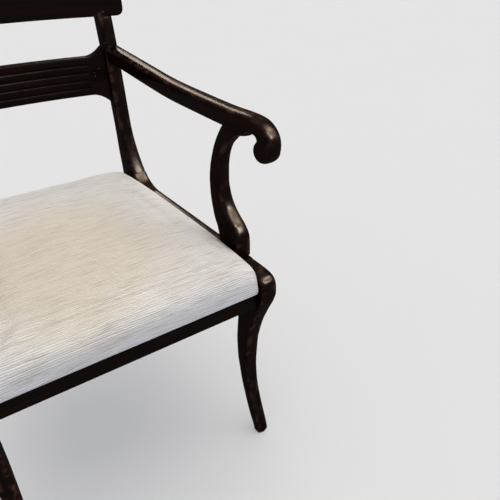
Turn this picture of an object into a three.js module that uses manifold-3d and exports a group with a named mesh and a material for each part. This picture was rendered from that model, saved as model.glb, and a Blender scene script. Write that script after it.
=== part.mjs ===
// Klismos armchair of dark polished mahogany with a drop-in upholstered seat.
// Millimetres, +Z up, +X to the sitter's left, +Y to the back of the chair.
// The origin is on the floor, under the middle of the chair's box.
// Each side frame (leg, rail, post, arm) is drawn flat and then turned in by the splay:
// in its own group x points outwards, y runs back from the front of the knee and z is up.

import * as THREE from 'three';
import { mergeVertices } from 'three/addons/utils/BufferGeometryUtils.js';
import Module from 'manifold-3d';

const wasm = await Module();
wasm.setup();

// Sizes of the whole frame
const frontWidth = 534;
const frameDepth = 512;
const splayAngle = THREE.MathUtils.degToRad(5.7);
const railTop = 437.5;
const railWidth = 34;
const sideRailHeight = 65.5;
const ledgeDrop = 32.5;
const seatLedge = railTop - ledgeDrop;
const jointGap = 0.3;
const overrun = 2;

// Front legs and posts
const kneeDepth = 74;
const footWidth = 26;
const legEdgeRadius = 4;
const innerEdgeRadius = 1.5;
const postDepth = 54;
const heelRake = 100;
const rearFootDepth = 24;
const stileRise = 347.5;
const stileTop = railTop + stileRise;
const stileLean = 39;
const stileDepth = 26.5;
const stileWidth = 30;

// Seat rails
const coveLength = 30;
const coveDrop = 14;
const sweepLength = 58;
const sweepRise = 24.5;
const sweepPullShare = 0.36;
const frontRailSetback = 14.4;
const frontRailThickness = 28;
const frontRailHeight = 36;
const backRailThickness = 28;
const backRailHeight = 52;
const backRailInset = 4.5;

// Joints between the wooden pieces
const tenonThickness = 10;
const railTenonLength = 24;
const crossTenonLength = 18;
const tenonShoulder = 8;
const supportTenonLength = 18;
const supportTenonDepth = 26;
const armTenonLength = 12;
const armTenonHeight = 20;
const midRailTenonLength = 10;
const midRailTenonHeight = 44;
const crestTenonLength = 24;
const crestTenonDepth = 16;

// Arms and their supports
const armOverhang = 72.1;
const armClearance = 244.5;
const armUnderside = railTop + armClearance;
const armRise = 19;
const armThickness = 32.5;
const armWidth = 30;
const armEdge = 4;
const scrollRadius = 19.3;
const scrollSetback = 20;
const scrollDrop = 12;
const supportSetback = 75;
const supportFoot = 52;
const supportFootWidth = 33;
const supportWidth = 27;

// Rails across the back
const midRailClearance = 179.5;
const midRailBottom = railTop + midRailClearance;
const midRailHeight = 113;
const midRailWaist = 76;
const midRailSweep = 36;
const midRailThickness = 19;
const midRailCurve = 22;
const reedCount = 5;
const stepsPerReed = 4;
const reedRelief = 2;
const crestHeight = 80;
const crestOverhang = 39.3;
const crestThickness = 24;
const crestTopThickness = 18;
const crestCurve = 30;
const crestLean = 12;
const crestCorner = 16;
const crestArch = 6;
const crestLevelShares = [0, 0.25, 0.5, 0.75, 1];
const bandSteps = 16;

// Corner blocks and battens
const blockLength = 65;
const blockTip = 9;
const blockHeight = 28;
const blockDrop = 5;
const railScrewShare = 0.6;
const sideScrewShare = 0.75;
const battenWidth = 10;
const battenHeight = 14;
const battenSetback = 6;
const battenScrewCount = 3;

// Screws and plugs
const screwRadius = 2.2;
const screwHeadRadius = 4.2;
const screwHeadHeight = 3;
const blockScrewLength = 38;
const battenScrewLength = 24;
const supportScrewLength = 26;
const armScrewLength = 62;
const armScrewDepth = 9;
const plugLength = 6;
const screwSides = 10;

// Drop-in seat
const seatGap = 0.8;
const coverThickness = 1.2;
const frameBarWidth = 45;
const frameBarHeight = 20;
const frameCorner = 17;
const frameTenonLength = 20;
const frameTenonThickness = 8;
const frameTenonInset = 11;
const seatFrontOverhang = 11.5;
const seatBackInset = 1.5;
const seatCrown = 12;
const cushionShoulder = 61.5;
const strapWidth = 50;
const strapThickness = 1.5;
const strapFlat = 3;
const strapEndInset = 8;
const strapSpacing = 34;
const strapSideInset = 29.5;
const crossStrapCount = 3;
const crossStrapPitch = 108;
const hessianThickness = 1;
const hessianInset = 6;
const dustCoverThickness = 0.8;
const dustCoverInset = 36;

// Outlines, as shares of the sizes named beside them
// Front of the front leg: shares of railTop and of kneeDepth
const legFrontShares = [
  [0, 0.014], [0.03, 0.05], [0.09, 0.175], [0.195, 0.4], [0.3, 0.56], [0.42, 0.628],
  [0.56, 0.6], [0.686, 0.46], [0.79, 0.246], [0.87, 0.054], [0.91, 0], [0.93, 0.005],
  [0.95, 0.02], [0.97, 0.06], [0.986, 0.15], [0.996, 0.3], [1, 0.51],
];
// Back of the front leg: shares of railTop and of kneeDepth
const legBackShares = [
  [0, 0.29], [0.03, 0.34], [0.085, 0.495], [0.15, 0.645], [0.22, 0.78], [0.295, 0.91],
  [0.37, 1], [0.44, 1.077], [0.56, 1.108], [0.64, 1.075], [0.73, 1.027], [0.79, 1.003],
  [0.805, 1], [1, 1],
];
// Width of every leg: shares of railTop and of the growth from footWidth to railWidth
const legWidthShares = [[0, 0], [0.14, 0.06], [0.43, 0.31], [0.686, 0.75], [0.85, 1], [1, 1]];
// Rear leg, front and back: shares of railTop and of the way to the heel
const rearFrontShares = [
  [0, 1], [0.137, 0.76], [0.274, 0.54], [0.411, 0.346], [0.549, 0.192], [0.686, 0.077],
  [0.789, 0.008], [0.82, 0], [1, 0],
];
const rearBackShares = [
  [0, 1], [0.137, 0.73], [0.274, 0.49], [0.411, 0.29], [0.549, 0.14], [0.686, 0.04],
  [0.789, 0.005], [0.85, 0], [1, 0],
];
// Stile, front and back: shares of its rise above the rail and of its way back
const stileFrontShares = [
  [0, 0], [0.076, 0], [0.122, 0.173], [0.188, 0.346], [0.257, 0.481], [0.324, 0.579],
  [0.485, 0.684], [0.678, 0.782], [0.842, 0.872], [1, 1],
];
const stileBackShares = [
  [0, 0], [0.076, 0.03], [0.188, 0.2], [0.257, 0.26], [0.324, 0.31], [0.485, 0.46],
  [0.612, 0.565], [0.755, 0.705], [1, 1],
];
const stileWidthShares = [[0, 1], [0.1, 0.85], [0.2, 0.45], [0.42, 0], [1, 0]];
// Arm support: share of its height, then front and back as shares of supportFoot
const supportShares = [
  [0, 0, 1], [0.1, 0, 1.08], [0.19, 0.04, 1.21], [0.26, 0.24, 1.4], [0.32, 0.56, 1.5],
  [0.385, 0.83, 1.59], [0.46, 1, 1.65], [0.56, 1.1, 1.67], [0.665, 1.09, 1.61],
  [0.755, 1.02, 1.5], [0.84, 0.86, 1.36], [0.91, 0.58, 1.2], [0.96, 0.29, 1.06],
  [1, -0.25, 0.94],
];
const supportWidthShares = [[0, 1], [0.12, 0.95], [0.35, 0.25], [0.5, 0], [0.85, 0], [1, 0.15]];
// Underside of the arm behind its support: shares of the arm's length and of armRise
const armUndersideShares = [
  [1, 1], [0.824, 0.6], [0.708, 0.34], [0.594, 0.1], [0.476, 0], [0.24, 0],
];
// Top of the arm ahead of its support, from the scroll's centre, in scroll radii
const scrollTopShares = [
  [2.3, 2.44], [1.04, 2.42], [0.28, 2.25], [-0.22, 1.98], [-0.55, 1.7], [-0.86, 1.27],
  [-1.02, 0.75], [-1.04, 0.35], [-1, 0],
];
const scrollSteps = 12;
const armTopSteps = 28;
const armUnderSteps = 12;
const scrollCoveSteps = 8;
const scrollNotchAngle = THREE.MathUtils.degToRad(58);
// Cove behind the scroll: shares of the way from its notch back to the support, and
// heights above the notch in scroll radii
const scrollCoveShares = [[0.2, 0.192], [0.43, 0.232], [0.7, 0.152]];
// Edge of the seat cover from its foot to its shoulder: shares of cushionShoulder, of
// seatFrontOverhang and of the rounding, which is cushionRounding wide
const cushionRounding = 20;
const cushionBackShare = 0.5;
const cushionCornerShare = 0.4;
const cushionEdgeShares = [
  [0, 0.15, 0], [0.07, 0.75, 0], [0.2, 1, 0], [0.53, 1, 0], [0.68, 0.85, 0.02],
  [0.8, 0.55, 0.12], [0.91, 0.05, 0.42], [1, -0.75, 1],
];
const cushionCrownShares = [[0.14, 0.38], [0.33, 0.7], [0.58, 0.92], [0.85, 1]];

// Finishes
const mahogany = new THREE.MeshStandardMaterial({ color: 0x1d0e0a, roughness: 0.28 });
const beech = new THREE.MeshStandardMaterial({ color: 0xb78d5f, roughness: 0.7 });
const linen = new THREE.MeshStandardMaterial({ color: 0xd9d2c3, roughness: 0.95 });
const jute = new THREE.MeshStandardMaterial({ color: 0x9c8258, roughness: 0.95 });
const wadding = new THREE.MeshStandardMaterial({ color: 0xe9e4d6, roughness: 1 });
const cambric = new THREE.MeshStandardMaterial({ color: 0x1b1b1c, roughness: 0.95 });
const steel = new THREE.MeshStandardMaterial({ color: 0x77736c, roughness: 0.4, metalness: 1 });

// Steps of the round shapes
const edgeSteps = 2;
const curveSteps = 8;
const legCornerSteps = 2;
const cushionCornerSteps = 4;

// Solid helpers
function withoutSlivers(geometry) {
  const bare = geometry.clone();
  bare.deleteAttribute('normal');
  bare.deleteAttribute('uv');
  const merged = mergeVertices(bare);
  const corners = merged.index.array;
  const kept = [];
  for (let i = 0; i < corners.length; i += 3) {
    const [a, b, c] = corners.slice(i, i + 3);
    if (a !== b && b !== c && c !== a) kept.push(a, b, c);
  }
  merged.setIndex(kept);
  return merged;
}

function toSolid(geometry) {
  const merged = withoutSlivers(geometry);
  return new wasm.Manifold(new wasm.Mesh({
    numProp: 3,
    vertProperties: new Float32Array(merged.attributes.position.array),
    triVerts: new Uint32Array(merged.index.array),
  }));
}

function toGeometry(solid) {
  const mesh = solid.getMesh();
  const geometry = new THREE.BufferGeometry();
  geometry.setAttribute('position', new THREE.BufferAttribute(mesh.vertProperties.slice(), 3));
  geometry.setIndex(Array.from(mesh.triVerts));
  geometry.computeVertexNormals();
  return geometry;
}

const cut = (geometry, tools) => toGeometry(
  tools.reduce((solid, tool) => solid.subtract(toSolid(tool)), toSolid(geometry)),
);
const join = (geometries) => toGeometry(
  geometries.slice(1).reduce((solid, next) => solid.add(toSolid(next)), toSolid(geometries[0])),
);
const common = (geometry, other) => toGeometry(toSolid(geometry).intersect(toSolid(other)));

function block([x0, x1], [y0, y1], [z0, z1]) {
  const geometry = new THREE.BoxGeometry(x1 - x0, y1 - y0, z1 - z0);
  return geometry.translate((x0 + x1) / 2, (y0 + y1) / 2, (z0 + z1) / 2);
}

function centred(middle, size) {
  return [middle - size / 2, middle + size / 2];
}

function grown([low, high], gap = jointGap) {
  return [low - gap, high + gap];
}

// A body standing on a flat outline, given as [x, y] corners
function planBody(corners, [low, high]) {
  const shape = new THREE.Shape(corners.map(([x, y]) => new THREE.Vector2(x, y)));
  const body = new THREE.ExtrudeGeometry(shape, { depth: high - low, bevelEnabled: false });
  return body.translate(0, 0, low);
}

// A body of a level outline at each height, all with the same number of corners
function stackedBody(levels) {
  const count = levels[0].length;
  const positions = levels.flat().flatMap((point) => [point.x, point.y, point.z]);
  const faces = [];
  for (let level = 0; level + 1 < levels.length; level += 1) {
    for (let i = 0; i < count; i += 1) {
      const next = (i + 1) % count;
      const [a, b] = [level * count + i, level * count + next];
      faces.push(a, b, b + count, a, b + count, a + count);
    }
  }
  const top = (levels.length - 1) * count;
  THREE.ShapeUtils.triangulateShape(levels[0], []).forEach(([a, b, c]) => faces.push(a, c, b));
  THREE.ShapeUtils.triangulateShape(levels.at(-1), [])
    .forEach(([a, b, c]) => faces.push(top + a, top + b, top + c));
  const geometry = new THREE.BufferGeometry();
  geometry.setAttribute('position', new THREE.Float32BufferAttribute(positions, 3));
  geometry.setIndex(faces);
  return toGeometry(toSolid(geometry));
}

// A smooth curve through a table of [at, value] pairs that never swings past them
function smoothRun(table) {
  const steps = table.slice(1).map(([at, value], i) => (value - table[i][1]) / (at - table[i][0]));
  const slopes = table.map((_, i) => {
    const [before, after] = [steps[i - 1] ?? steps[i], steps[i] ?? steps[i - 1]];
    return before * after > 0 ? (2 * before * after) / (before + after) : 0;
  });
  return (at) => {
    const last = table.length - 2;
    const after = table.findIndex(([start]) => start > at);
    const i = after < 0 ? last : Math.max(after - 1, 0);
    const width = table[i + 1][0] - table[i][0];
    const t = THREE.MathUtils.clamp((at - table[i][0]) / width, 0, 1);
    const [h0, h1] = [(1 + 2 * t) * (1 - t) ** 2, t * (1 - t) ** 2];
    const [h2, h3] = [t * t * (3 - 2 * t), t * t * (t - 1)];
    return h0 * table[i][1] + h1 * width * slopes[i]
      + h2 * table[i + 1][1] + h3 * width * slopes[i + 1];
  };
}

const column = (rows, index) => rows.map((row) => [row[0], row[index]]);

// All heights named by some tables, once each, from the lowest up
function heightsOf(...tables) {
  const heights = tables.flat().map(([height]) => height);
  return [...new Set(heights)].sort((a, b) => a - b);
}

// A level outline with round corners, wound anticlockwise from above. Each corner is
// [x, y, radius, way in along x, way in along y], and the first one is the front left.
function roundedOutline(corners, z, steps) {
  return corners.flatMap(([x, y, radius, toX, toY], i) => {
    const [cx, cy] = [x + toX * radius, y + toY * radius];
    return Array.from({ length: steps + 1 }, (_, step) => {
      const angle = Math.PI + ((i + step / steps) * Math.PI) / 2;
      return new THREE.Vector3(cx + radius * Math.cos(angle), cy + radius * Math.sin(angle), z);
    });
  });
}

// A rounded rectangle in a side frame
function sideLevel({ front, back, width, z, frontRadius, backRadius }) {
  const half = width / 2;
  return roundedOutline([
    [-half, front, frontRadius, 1, 1], [half, front, frontRadius, -1, 1],
    [half, back, backRadius, -1, -1], [-half, back, backRadius, 1, -1],
  ], z, legCornerSteps);
}

// Turns of a flat outline: seen from the side, [y, z], or seen from the front, [x, z]
const seenFromSide = new THREE.Matrix4().makeBasis(
  new THREE.Vector3(0, 1, 0), new THREE.Vector3(0, 0, 1), new THREE.Vector3(1, 0, 0),
);
const seenFromFront = new THREE.Matrix4().makeBasis(
  new THREE.Vector3(1, 0, 0), new THREE.Vector3(0, 0, 1), new THREE.Vector3(0, -1, 0),
);

function sideBody(shape, width, edge = 0) {
  const body = new THREE.ExtrudeGeometry(shape, {
    depth: width - 2 * edge,
    bevelEnabled: edge > 0,
    bevelThickness: edge,
    bevelSize: edge,
    bevelOffset: -edge,
    bevelSegments: edgeSteps,
    curveSegments: curveSteps,
  });
  return body.translate(0, 0, edge - width / 2).applyMatrix4(seenFromSide);
}

function mirrored(geometry) {
  const copy = geometry.clone().scale(-1, 1, 1);
  const corners = copy.index.array;
  for (let i = 0; i < corners.length; i += 3) {
    [corners[i], corners[i + 1]] = [corners[i + 1], corners[i]];
  }
  copy.computeVertexNormals();
  return copy;
}

// The chair and its two side frames
const chair = new THREE.Group();
const sideX = frontWidth / 2 - (railWidth / 2) * Math.cos(splayAngle);
const leftSide = new THREE.Group();
leftSide.position.x = sideX;
leftSide.rotation.z = splayAngle;
leftSide.updateMatrixWorld();
const rightSide = new THREE.Group();
rightSide.position.x = -sideX;
rightSide.rotation.z = -splayAngle;
chair.add(leftSide, rightSide);
const intoSide = leftSide.matrixWorld.clone().invert();

function add(name, geometry, material, parent = chair) {
  const mesh = new THREE.Mesh(geometry, material);
  mesh.name = name;
  parent.add(mesh);
}

function addPair(name, geometry, material) {
  const solid = toGeometry(toSolid(geometry));
  add(`${name}_left`, solid, material, leftSide);
  add(`${name}_right`, mirrored(solid), material, rightSide);
}

// Where the plane that lies `out` from the middle of the left side frame meets a given y
function planeX(out, y) {
  return sideX + out / Math.cos(splayAngle) - y * Math.tan(splayAngle);
}

// The y in the chair of a place in the left side frame
function chairY(out, back) {
  return back * Math.cos(splayAngle) + out * Math.sin(splayAngle);
}

const innerFace = -railWidth / 2;
const postFront = frameDepth - postDepth;
const sideRailBottom = railTop - sideRailHeight;
const middleTenon = centred(0, tenonThickness);

// Front legs
function frontLegLevels() {
  const front = smoothRun(legFrontShares);
  const back = smoothRun(legBackShares);
  const widen = smoothRun(legWidthShares);
  return heightsOf(legFrontShares, legBackShares).map((share) => sideLevel({
    z: share * railTop,
    front: front(share) * kneeDepth,
    back: back(share) * kneeDepth,
    width: footWidth + widen(share) * (railWidth - footWidth),
    frontRadius: legEdgeRadius,
    backRadius: share * railTop < sideRailBottom ? legEdgeRadius : innerEdgeRadius,
  }));
}

const sideTenonHeights = [sideRailBottom + tenonShoulder, railTop - 2 * tenonShoulder];
const frontTenonBacks = [kneeDepth - railTenonLength, kneeDepth + overrun];
const frontRailBacks = [frontRailSetback, frontRailSetback + frontRailThickness];
const frontRailHeights = [seatLedge - frontRailHeight, seatLedge];
const postInnerBack = chairY(innerFace, frameDepth);
const backRailBacks = [
  postInnerBack - backRailInset - backRailThickness, postInnerBack - backRailInset,
];
const backRailHeights = [seatLedge - backRailHeight, seatLedge];

// Tenon of a rail that runs across the chair, at the left end
function crossTenon(backs, heights, gap = 0) {
  const middle = (backs[0] + backs[1]) / 2;
  const end = planeX(innerFace, middle);
  return block(
    grown([end - overrun, end + crossTenonLength], gap),
    grown(centred(middle, tenonThickness), gap),
    grown([heights[0] + tenonShoulder, heights[1] - tenonShoulder], gap),
  );
}

function crossMortise(backs, heights) {
  return crossTenon(backs, heights, jointGap).applyMatrix4(intoSide);
}

function addFrontLegs() {
  const mortise = block(
    grown(middleTenon), grown(frontTenonBacks), grown(sideTenonHeights),
  );
  const leg = cut(stackedBody(frontLegLevels()), [
    mortise, crossMortise(frontRailBacks, frontRailHeights),
  ]);
  addPair('front_leg', leg, mahogany);
}

// Rear posts
const heelBack = frameDepth + heelRake;
const stileFrontRun = smoothRun(stileFrontShares);
const stileBackRun = smoothRun(stileBackShares);
const stileWidthRun = smoothRun(stileWidthShares);

function stileFront(z) {
  const top = frameDepth + stileLean - stileDepth;
  return postFront + stileFrontRun((z - railTop) / stileRise) * (top - postFront);
}

function stileBack(z) {
  return frameDepth + stileBackRun((z - railTop) / stileRise) * stileLean;
}

function rearLegLevels() {
  const front = smoothRun(rearFrontShares);
  const back = smoothRun(rearBackShares);
  const widen = smoothRun(legWidthShares);
  return heightsOf(rearFrontShares, rearBackShares).map((share) => sideLevel({
    z: share * railTop,
    front: postFront + front(share) * (heelBack - rearFootDepth - postFront),
    back: frameDepth + back(share) * heelRake,
    width: footWidth + widen(share) * (railWidth - footWidth),
    frontRadius: share * railTop < sideRailBottom ? legEdgeRadius : innerEdgeRadius,
    backRadius: legEdgeRadius,
  }));
}

function stileLevels() {
  return heightsOf(stileFrontShares, stileBackShares).slice(1).map((share) => {
    const z = railTop + share * stileRise;
    return sideLevel({
      z,
      front: stileFront(z),
      back: stileBack(z),
      width: stileWidth + stileWidthRun(share) * (railWidth - stileWidth),
      frontRadius: z > railTop + sweepRise + overrun ? legEdgeRadius : innerEdgeRadius,
      backRadius: legEdgeRadius,
    });
  });
}

const sideRearTenonBacks = [postFront - overrun, postFront + railTenonLength];
const armEndHeight = armUnderside + armRise + armThickness / 2;
const armTenonHeights = centred(armEndHeight, armTenonHeight);
const armTenonBack = stileFront(armEndHeight) + armTenonLength;
const midRailMiddle = midRailBottom + midRailHeight / 2;
const midRailTenonHeights = centred(midRailMiddle - tenonShoulder, midRailTenonHeight);
const stileMiddle = (z) => (stileFront(z) + stileBack(z)) / 2;

function crestTenon(gap = 0) {
  return block(
    grown(middleTenon, gap),
    grown(centred(stileMiddle(stileTop), crestTenonDepth), gap),
    grown([stileTop - overrun, stileTop + crestTenonLength], gap),
  );
}

// Stub tenon at the left end of the middle rail, in the chair's own directions
function midRailTenon(gap = 0) {
  const middle = chairY(-stileWidth / 2, stileMiddle(midRailMiddle));
  const end = planeX(-stileWidth / 2, middle);
  return block(
    grown([end - overrun - reedRelief, end + midRailTenonLength], gap),
    grown(centred(middle, tenonThickness), gap),
    grown(midRailTenonHeights, gap),
  );
}

function armTenon(gap = 0) {
  const front = stileFront(armEndHeight);
  return block(
    grown(middleTenon, gap), grown([front - armTenonLength, armTenonBack], gap),
    grown(armTenonHeights, gap),
  );
}

// A round hole or peg along y of a side frame
function rodAlongBack(radius, [front, back], z, x = 0) {
  const rod = new THREE.CylinderGeometry(radius, radius, back - front, screwSides);
  return rod.translate(0, (front + back) / 2, 0).translate(x, 0, z);
}

const armScrewHead = stileBack(armEndHeight) - armScrewDepth;

function addRearPosts() {
  const sideMortise = block(
    grown(middleTenon), grown(sideRearTenonBacks), grown(sideTenonHeights),
  );
  const body = stackedBody([...rearLegLevels(), ...stileLevels()]);
  const post = cut(join([body, crestTenon()]), [
    sideMortise,
    crossMortise(backRailBacks, backRailHeights),
    midRailTenon(jointGap).applyMatrix4(intoSide),
    armTenon(jointGap),
    rodAlongBack(screwRadius + jointGap, [postFront, frameDepth + stileLean], armEndHeight),
    rodAlongBack(
      screwHeadRadius + jointGap, [armScrewHead - screwHeadHeight, frameDepth + 2 * stileLean],
      armEndHeight,
    ),
  ]);
  addPair('rear_post', post, mahogany);
}

// Side rails
const railStart = kneeDepth + jointGap;
const railEnd = postFront - jointGap;
const supportTenonBacks = centred(supportSetback + supportFoot / 2, supportTenonDepth);

function sideRailShape() {
  const shape = new THREE.Shape();
  shape.moveTo(railStart, sideRailBottom - coveDrop);
  shape.quadraticCurveTo(railStart, sideRailBottom, railStart + coveLength, sideRailBottom);
  shape.lineTo(railEnd - coveLength, sideRailBottom);
  shape.quadraticCurveTo(railEnd, sideRailBottom, railEnd, sideRailBottom - coveDrop);
  shape.lineTo(railEnd, railTop + sweepRise);
  shape.quadraticCurveTo(
    railEnd - sweepPullShare * sweepLength, railTop, railEnd - sweepLength, railTop,
  );
  shape.lineTo(railStart, railTop);
  return shape;
}

// Screw with its head at the origin, pointing along +y, and the hole that it needs
function screw(length) {
  const profile = [
    [0, 0], [screwHeadRadius, 0], [screwRadius, screwHeadHeight],
    [screwRadius, length - screwHeadHeight], [0, length],
  ].map(([radius, at]) => new THREE.Vector2(radius, at));
  return new THREE.LatheGeometry(profile, screwSides);
}

function screwHole(length, headroom) {
  const shank = new THREE.CylinderGeometry(
    screwRadius + jointGap, screwRadius + jointGap, length + jointGap, screwSides,
  );
  const mouth = new THREE.CylinderGeometry(
    screwHeadRadius + jointGap, screwHeadRadius + jointGap,
    headroom + screwHeadHeight + jointGap, screwSides,
  );
  return join([
    shank.translate(0, (length + jointGap) / 2, 0),
    mouth.translate(0, (screwHeadHeight + jointGap - headroom) / 2, 0),
  ]);
}

// Turns something that points along +y to point along an angle from +y, at a place
function placed(geometry, angle, x, y, z) {
  return geometry.rotateZ(angle).translate(x, y, z);
}

const outwards = -Math.PI / 2;
const supportScrewHeight = railTop - supportTenonLength / 2;
const supportScrewAt = [
  outwards, innerFace + jointGap, supportSetback + supportFoot / 2, supportScrewHeight,
];

const battenHeights = [seatLedge - battenHeight, seatLedge];
const battenOuter = innerFace - jointGap;
const blockFrontEnd = frontRailBacks[1] + jointGap + blockLength;
const blockRearEnd = backRailBacks[0] - jointGap - blockLength;
const battenBacks = [blockFrontEnd + battenSetback, blockRearEnd - battenSetback];

function battenScrewPlaces() {
  const [front, back] = battenBacks;
  const pitch = (back - front) / battenScrewCount;
  return Array.from({ length: battenScrewCount }, (_, i) => [
    outwards, battenOuter - battenWidth + jointGap, front + (i + 0.5) * pitch,
    seatLedge - battenHeight / 2,
  ]);
}

// Corner blocks: [the rail face that they stand against, the way into the chair]
const frontCorner = [frontRailBacks[1] + jointGap, 1];
const rearCorner = [backRailBacks[0] - jointGap, -1];
const blockHeights = [seatLedge - blockDrop - blockHeight, seatLedge - blockDrop];
const blockMiddle = (blockHeights[0] + blockHeights[1]) / 2;

function blockCorners([face, inwards]) {
  const side = (away) => planeX(battenOuter, face + inwards * away);
  const end = side(0) - blockLength;
  return [
    [side(0), face], [side(blockLength), face + inwards * blockLength],
    [side(blockLength) - blockTip, face + inwards * blockLength],
    [end, face + inwards * blockTip], [end, face],
  ];
}

// How far the slanted face of a corner block stands off, a share of the way along a leg
const blockDepthAt = (share) => blockTip + (1 - share) * (blockLength - blockTip);

function railScrewPlace([face, inwards]) {
  const x = planeX(battenOuter, face) - railScrewShare * blockLength;
  const head = blockDepthAt(railScrewShare) - screwHeadHeight;
  return [inwards > 0 ? Math.PI : 0, x, face + inwards * head, blockMiddle];
}

function sideScrewPlace([face, inwards]) {
  const head = blockDepthAt(sideScrewShare) - screwHeadHeight;
  const y = face + inwards * sideScrewShare * blockLength;
  const x = planeX(battenOuter, y) - head * Math.cos(splayAngle);
  return [outwards + splayAngle, x, y - head * Math.sin(splayAngle), blockMiddle];
}

function addSideRails() {
  const body = join([
    sideBody(sideRailShape(), railWidth),
    block(middleTenon, [frontTenonBacks[0], railStart + overrun], sideTenonHeights),
    block(middleTenon, [railEnd - overrun, sideRearTenonBacks[1]], sideTenonHeights),
  ]);
  const holes = [
    block(
      grown(middleTenon), grown(supportTenonBacks),
      [railTop - supportTenonLength - jointGap, railTop + overrun],
    ),
    placed(screwHole(supportScrewLength, overrun), ...supportScrewAt),
    ...battenScrewPlaces().map((place) => placed(screwHole(battenScrewLength, 0), ...place)),
    ...[frontCorner, rearCorner].map((corner) => placed(
      screwHole(blockScrewLength, 0), ...sideScrewPlace(corner),
    ).applyMatrix4(intoSide)),
  ];
  addPair('side_rail', cut(body, holes), mahogany);
}

// Rails across the front and the back of the seat
function crossRail(backs, heights, corner) {
  const ends = (y) => planeX(battenOuter, y);
  const body = planBody([
    [-ends(backs[0]), backs[0]], [ends(backs[0]), backs[0]],
    [ends(backs[1]), backs[1]], [-ends(backs[1]), backs[1]],
  ], heights);
  const tenon = toGeometry(toSolid(crossTenon(backs, heights)));
  const hole = placed(screwHole(blockScrewLength, 0), ...railScrewPlace(corner));
  return cut(join([body, tenon, mirrored(tenon)]), [hole, mirrored(hole)]);
}

function addCrossRails() {
  add('front_rail', crossRail(frontRailBacks, frontRailHeights, frontCorner), mahogany);
  add('back_rail', crossRail(backRailBacks, backRailHeights, rearCorner), mahogany);
}

function addCornerBlocks() {
  [['front', frontCorner], ['rear', rearCorner]].forEach(([place, corner]) => {
    const body = toGeometry(toSolid(planBody(blockCorners(corner), blockHeights)));
    const holes = [railScrewPlace(corner), sideScrewPlace(corner)]
      .map((at) => placed(screwHole(blockScrewLength, blockLength), ...at));
    const drilled = cut(body, holes);
    add(`corner_block_${place}_left`, drilled, beech);
    add(`corner_block_${place}_right`, mirrored(drilled), beech);
  });
}

function addBattens() {
  const body = block([battenOuter - battenWidth, battenOuter], battenBacks, battenHeights);
  const holes = battenScrewPlaces()
    .map((place) => placed(screwHole(battenScrewLength, overrun), ...place));
  addPair('seat_batten', cut(body, holes), beech);
}

// Arms
const armFront = supportSetback - armOverhang;
const armLength = stileFront(armUnderside) - armFront;
const scrollCentre = new THREE.Vector2(armFront + scrollSetback, armUnderside - scrollDrop);
const undersideRun = smoothRun([...armUndersideShares].reverse());
const armUnder = (y) => armUnderside + armRise * undersideRun((y - armFront) / armLength);

function aboutScroll([across, up]) {
  return new THREE.Vector2(across, up).multiplyScalar(scrollRadius).add(scrollCentre);
}

const supportTopFront = supportSetback + supportShares.at(-1)[1] * supportFoot;

// The arm's outline: back end, top, spiral end of the scroll, cove and underside
function armShape() {
  const places = armUndersideShares.map(([share]) => armFront + share * armLength);
  const atPlaces = (rise) => places.slice(1).map((y) => new THREE.Vector2(y, armUnder(y) + rise));
  const heights = [armUnder(places[0]), armUnder(places[0]) + armThickness];
  const back = heights.map((z) => new THREE.Vector2(stileFront(z) - jointGap, z));
  const top = [back[1], ...atPlaces(armThickness), ...scrollTopShares.map(aboutScroll)];
  const turns = Array.from({ length: scrollSteps - 1 }, (_, i) => THREE.MathUtils.lerp(
    Math.PI, 2 * Math.PI + scrollNotchAngle, (i + 1) / scrollSteps,
  ));
  const roll = turns.map((angle) => aboutScroll([Math.cos(angle), Math.sin(angle)]));
  const notch = aboutScroll([Math.cos(scrollNotchAngle), Math.sin(scrollNotchAngle)]);
  const coveEnd = new THREE.Vector2(supportTopFront, armUnderside);
  const cove = [notch, ...scrollCoveShares.map(([along, up]) => new THREE.Vector2(
    THREE.MathUtils.lerp(notch.x, coveEnd.x, along), notch.y + up * scrollRadius,
  )), coveEnd];
  const under = [...atPlaces(0).reverse(), back[0]];
  return new THREE.Shape([
    ...new THREE.SplineCurve(top).getPoints(armTopSteps),
    ...roll,
    ...new THREE.SplineCurve(cove).getPoints(scrollCoveSteps),
    ...new THREE.SplineCurve(under).getPoints(armUnderSteps),
  ]);
}

function supportTopTenon(gap = 0) {
  return block(
    grown(middleTenon, gap), grown(supportTenonBacks, gap),
    grown([armUnderside - overrun, armUnderside + supportTenonLength], gap),
  );
}

function addArms() {
  const arm = cut(join([sideBody(armShape(), armWidth, armEdge), armTenon()]), [
    supportTopTenon(jointGap),
    rodAlongBack(
      screwRadius + jointGap, [armScrewHead - armScrewLength - jointGap, frameDepth + stileLean],
      armEndHeight,
    ),
  ]);
  addPair('arm', arm, mahogany);
}

function supportLevels() {
  const front = smoothRun(column(supportShares, 1));
  const back = smoothRun(column(supportShares, 2));
  const widen = smoothRun(supportWidthShares);
  const [low, high] = [railTop + jointGap, armUnderside - jointGap];
  return heightsOf(supportShares).map((share) => sideLevel({
    z: low + share * (high - low),
    front: supportSetback + front(share) * supportFoot,
    back: supportSetback + back(share) * supportFoot,
    width: supportWidth + widen(share) * (supportFootWidth - supportWidth),
    frontRadius: legEdgeRadius,
    backRadius: legEdgeRadius,
  }));
}

function addArmSupports() {
  const railTenon = block(
    middleTenon, supportTenonBacks, [railTop - supportTenonLength, railTop + overrun],
  );
  const support = cut(join([stackedBody(supportLevels()), railTenon, supportTopTenon()]), [
    placed(screwHole(supportScrewLength, 0), ...supportScrewAt),
  ]);
  addPair('arm_support', support, mahogany);
}

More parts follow.
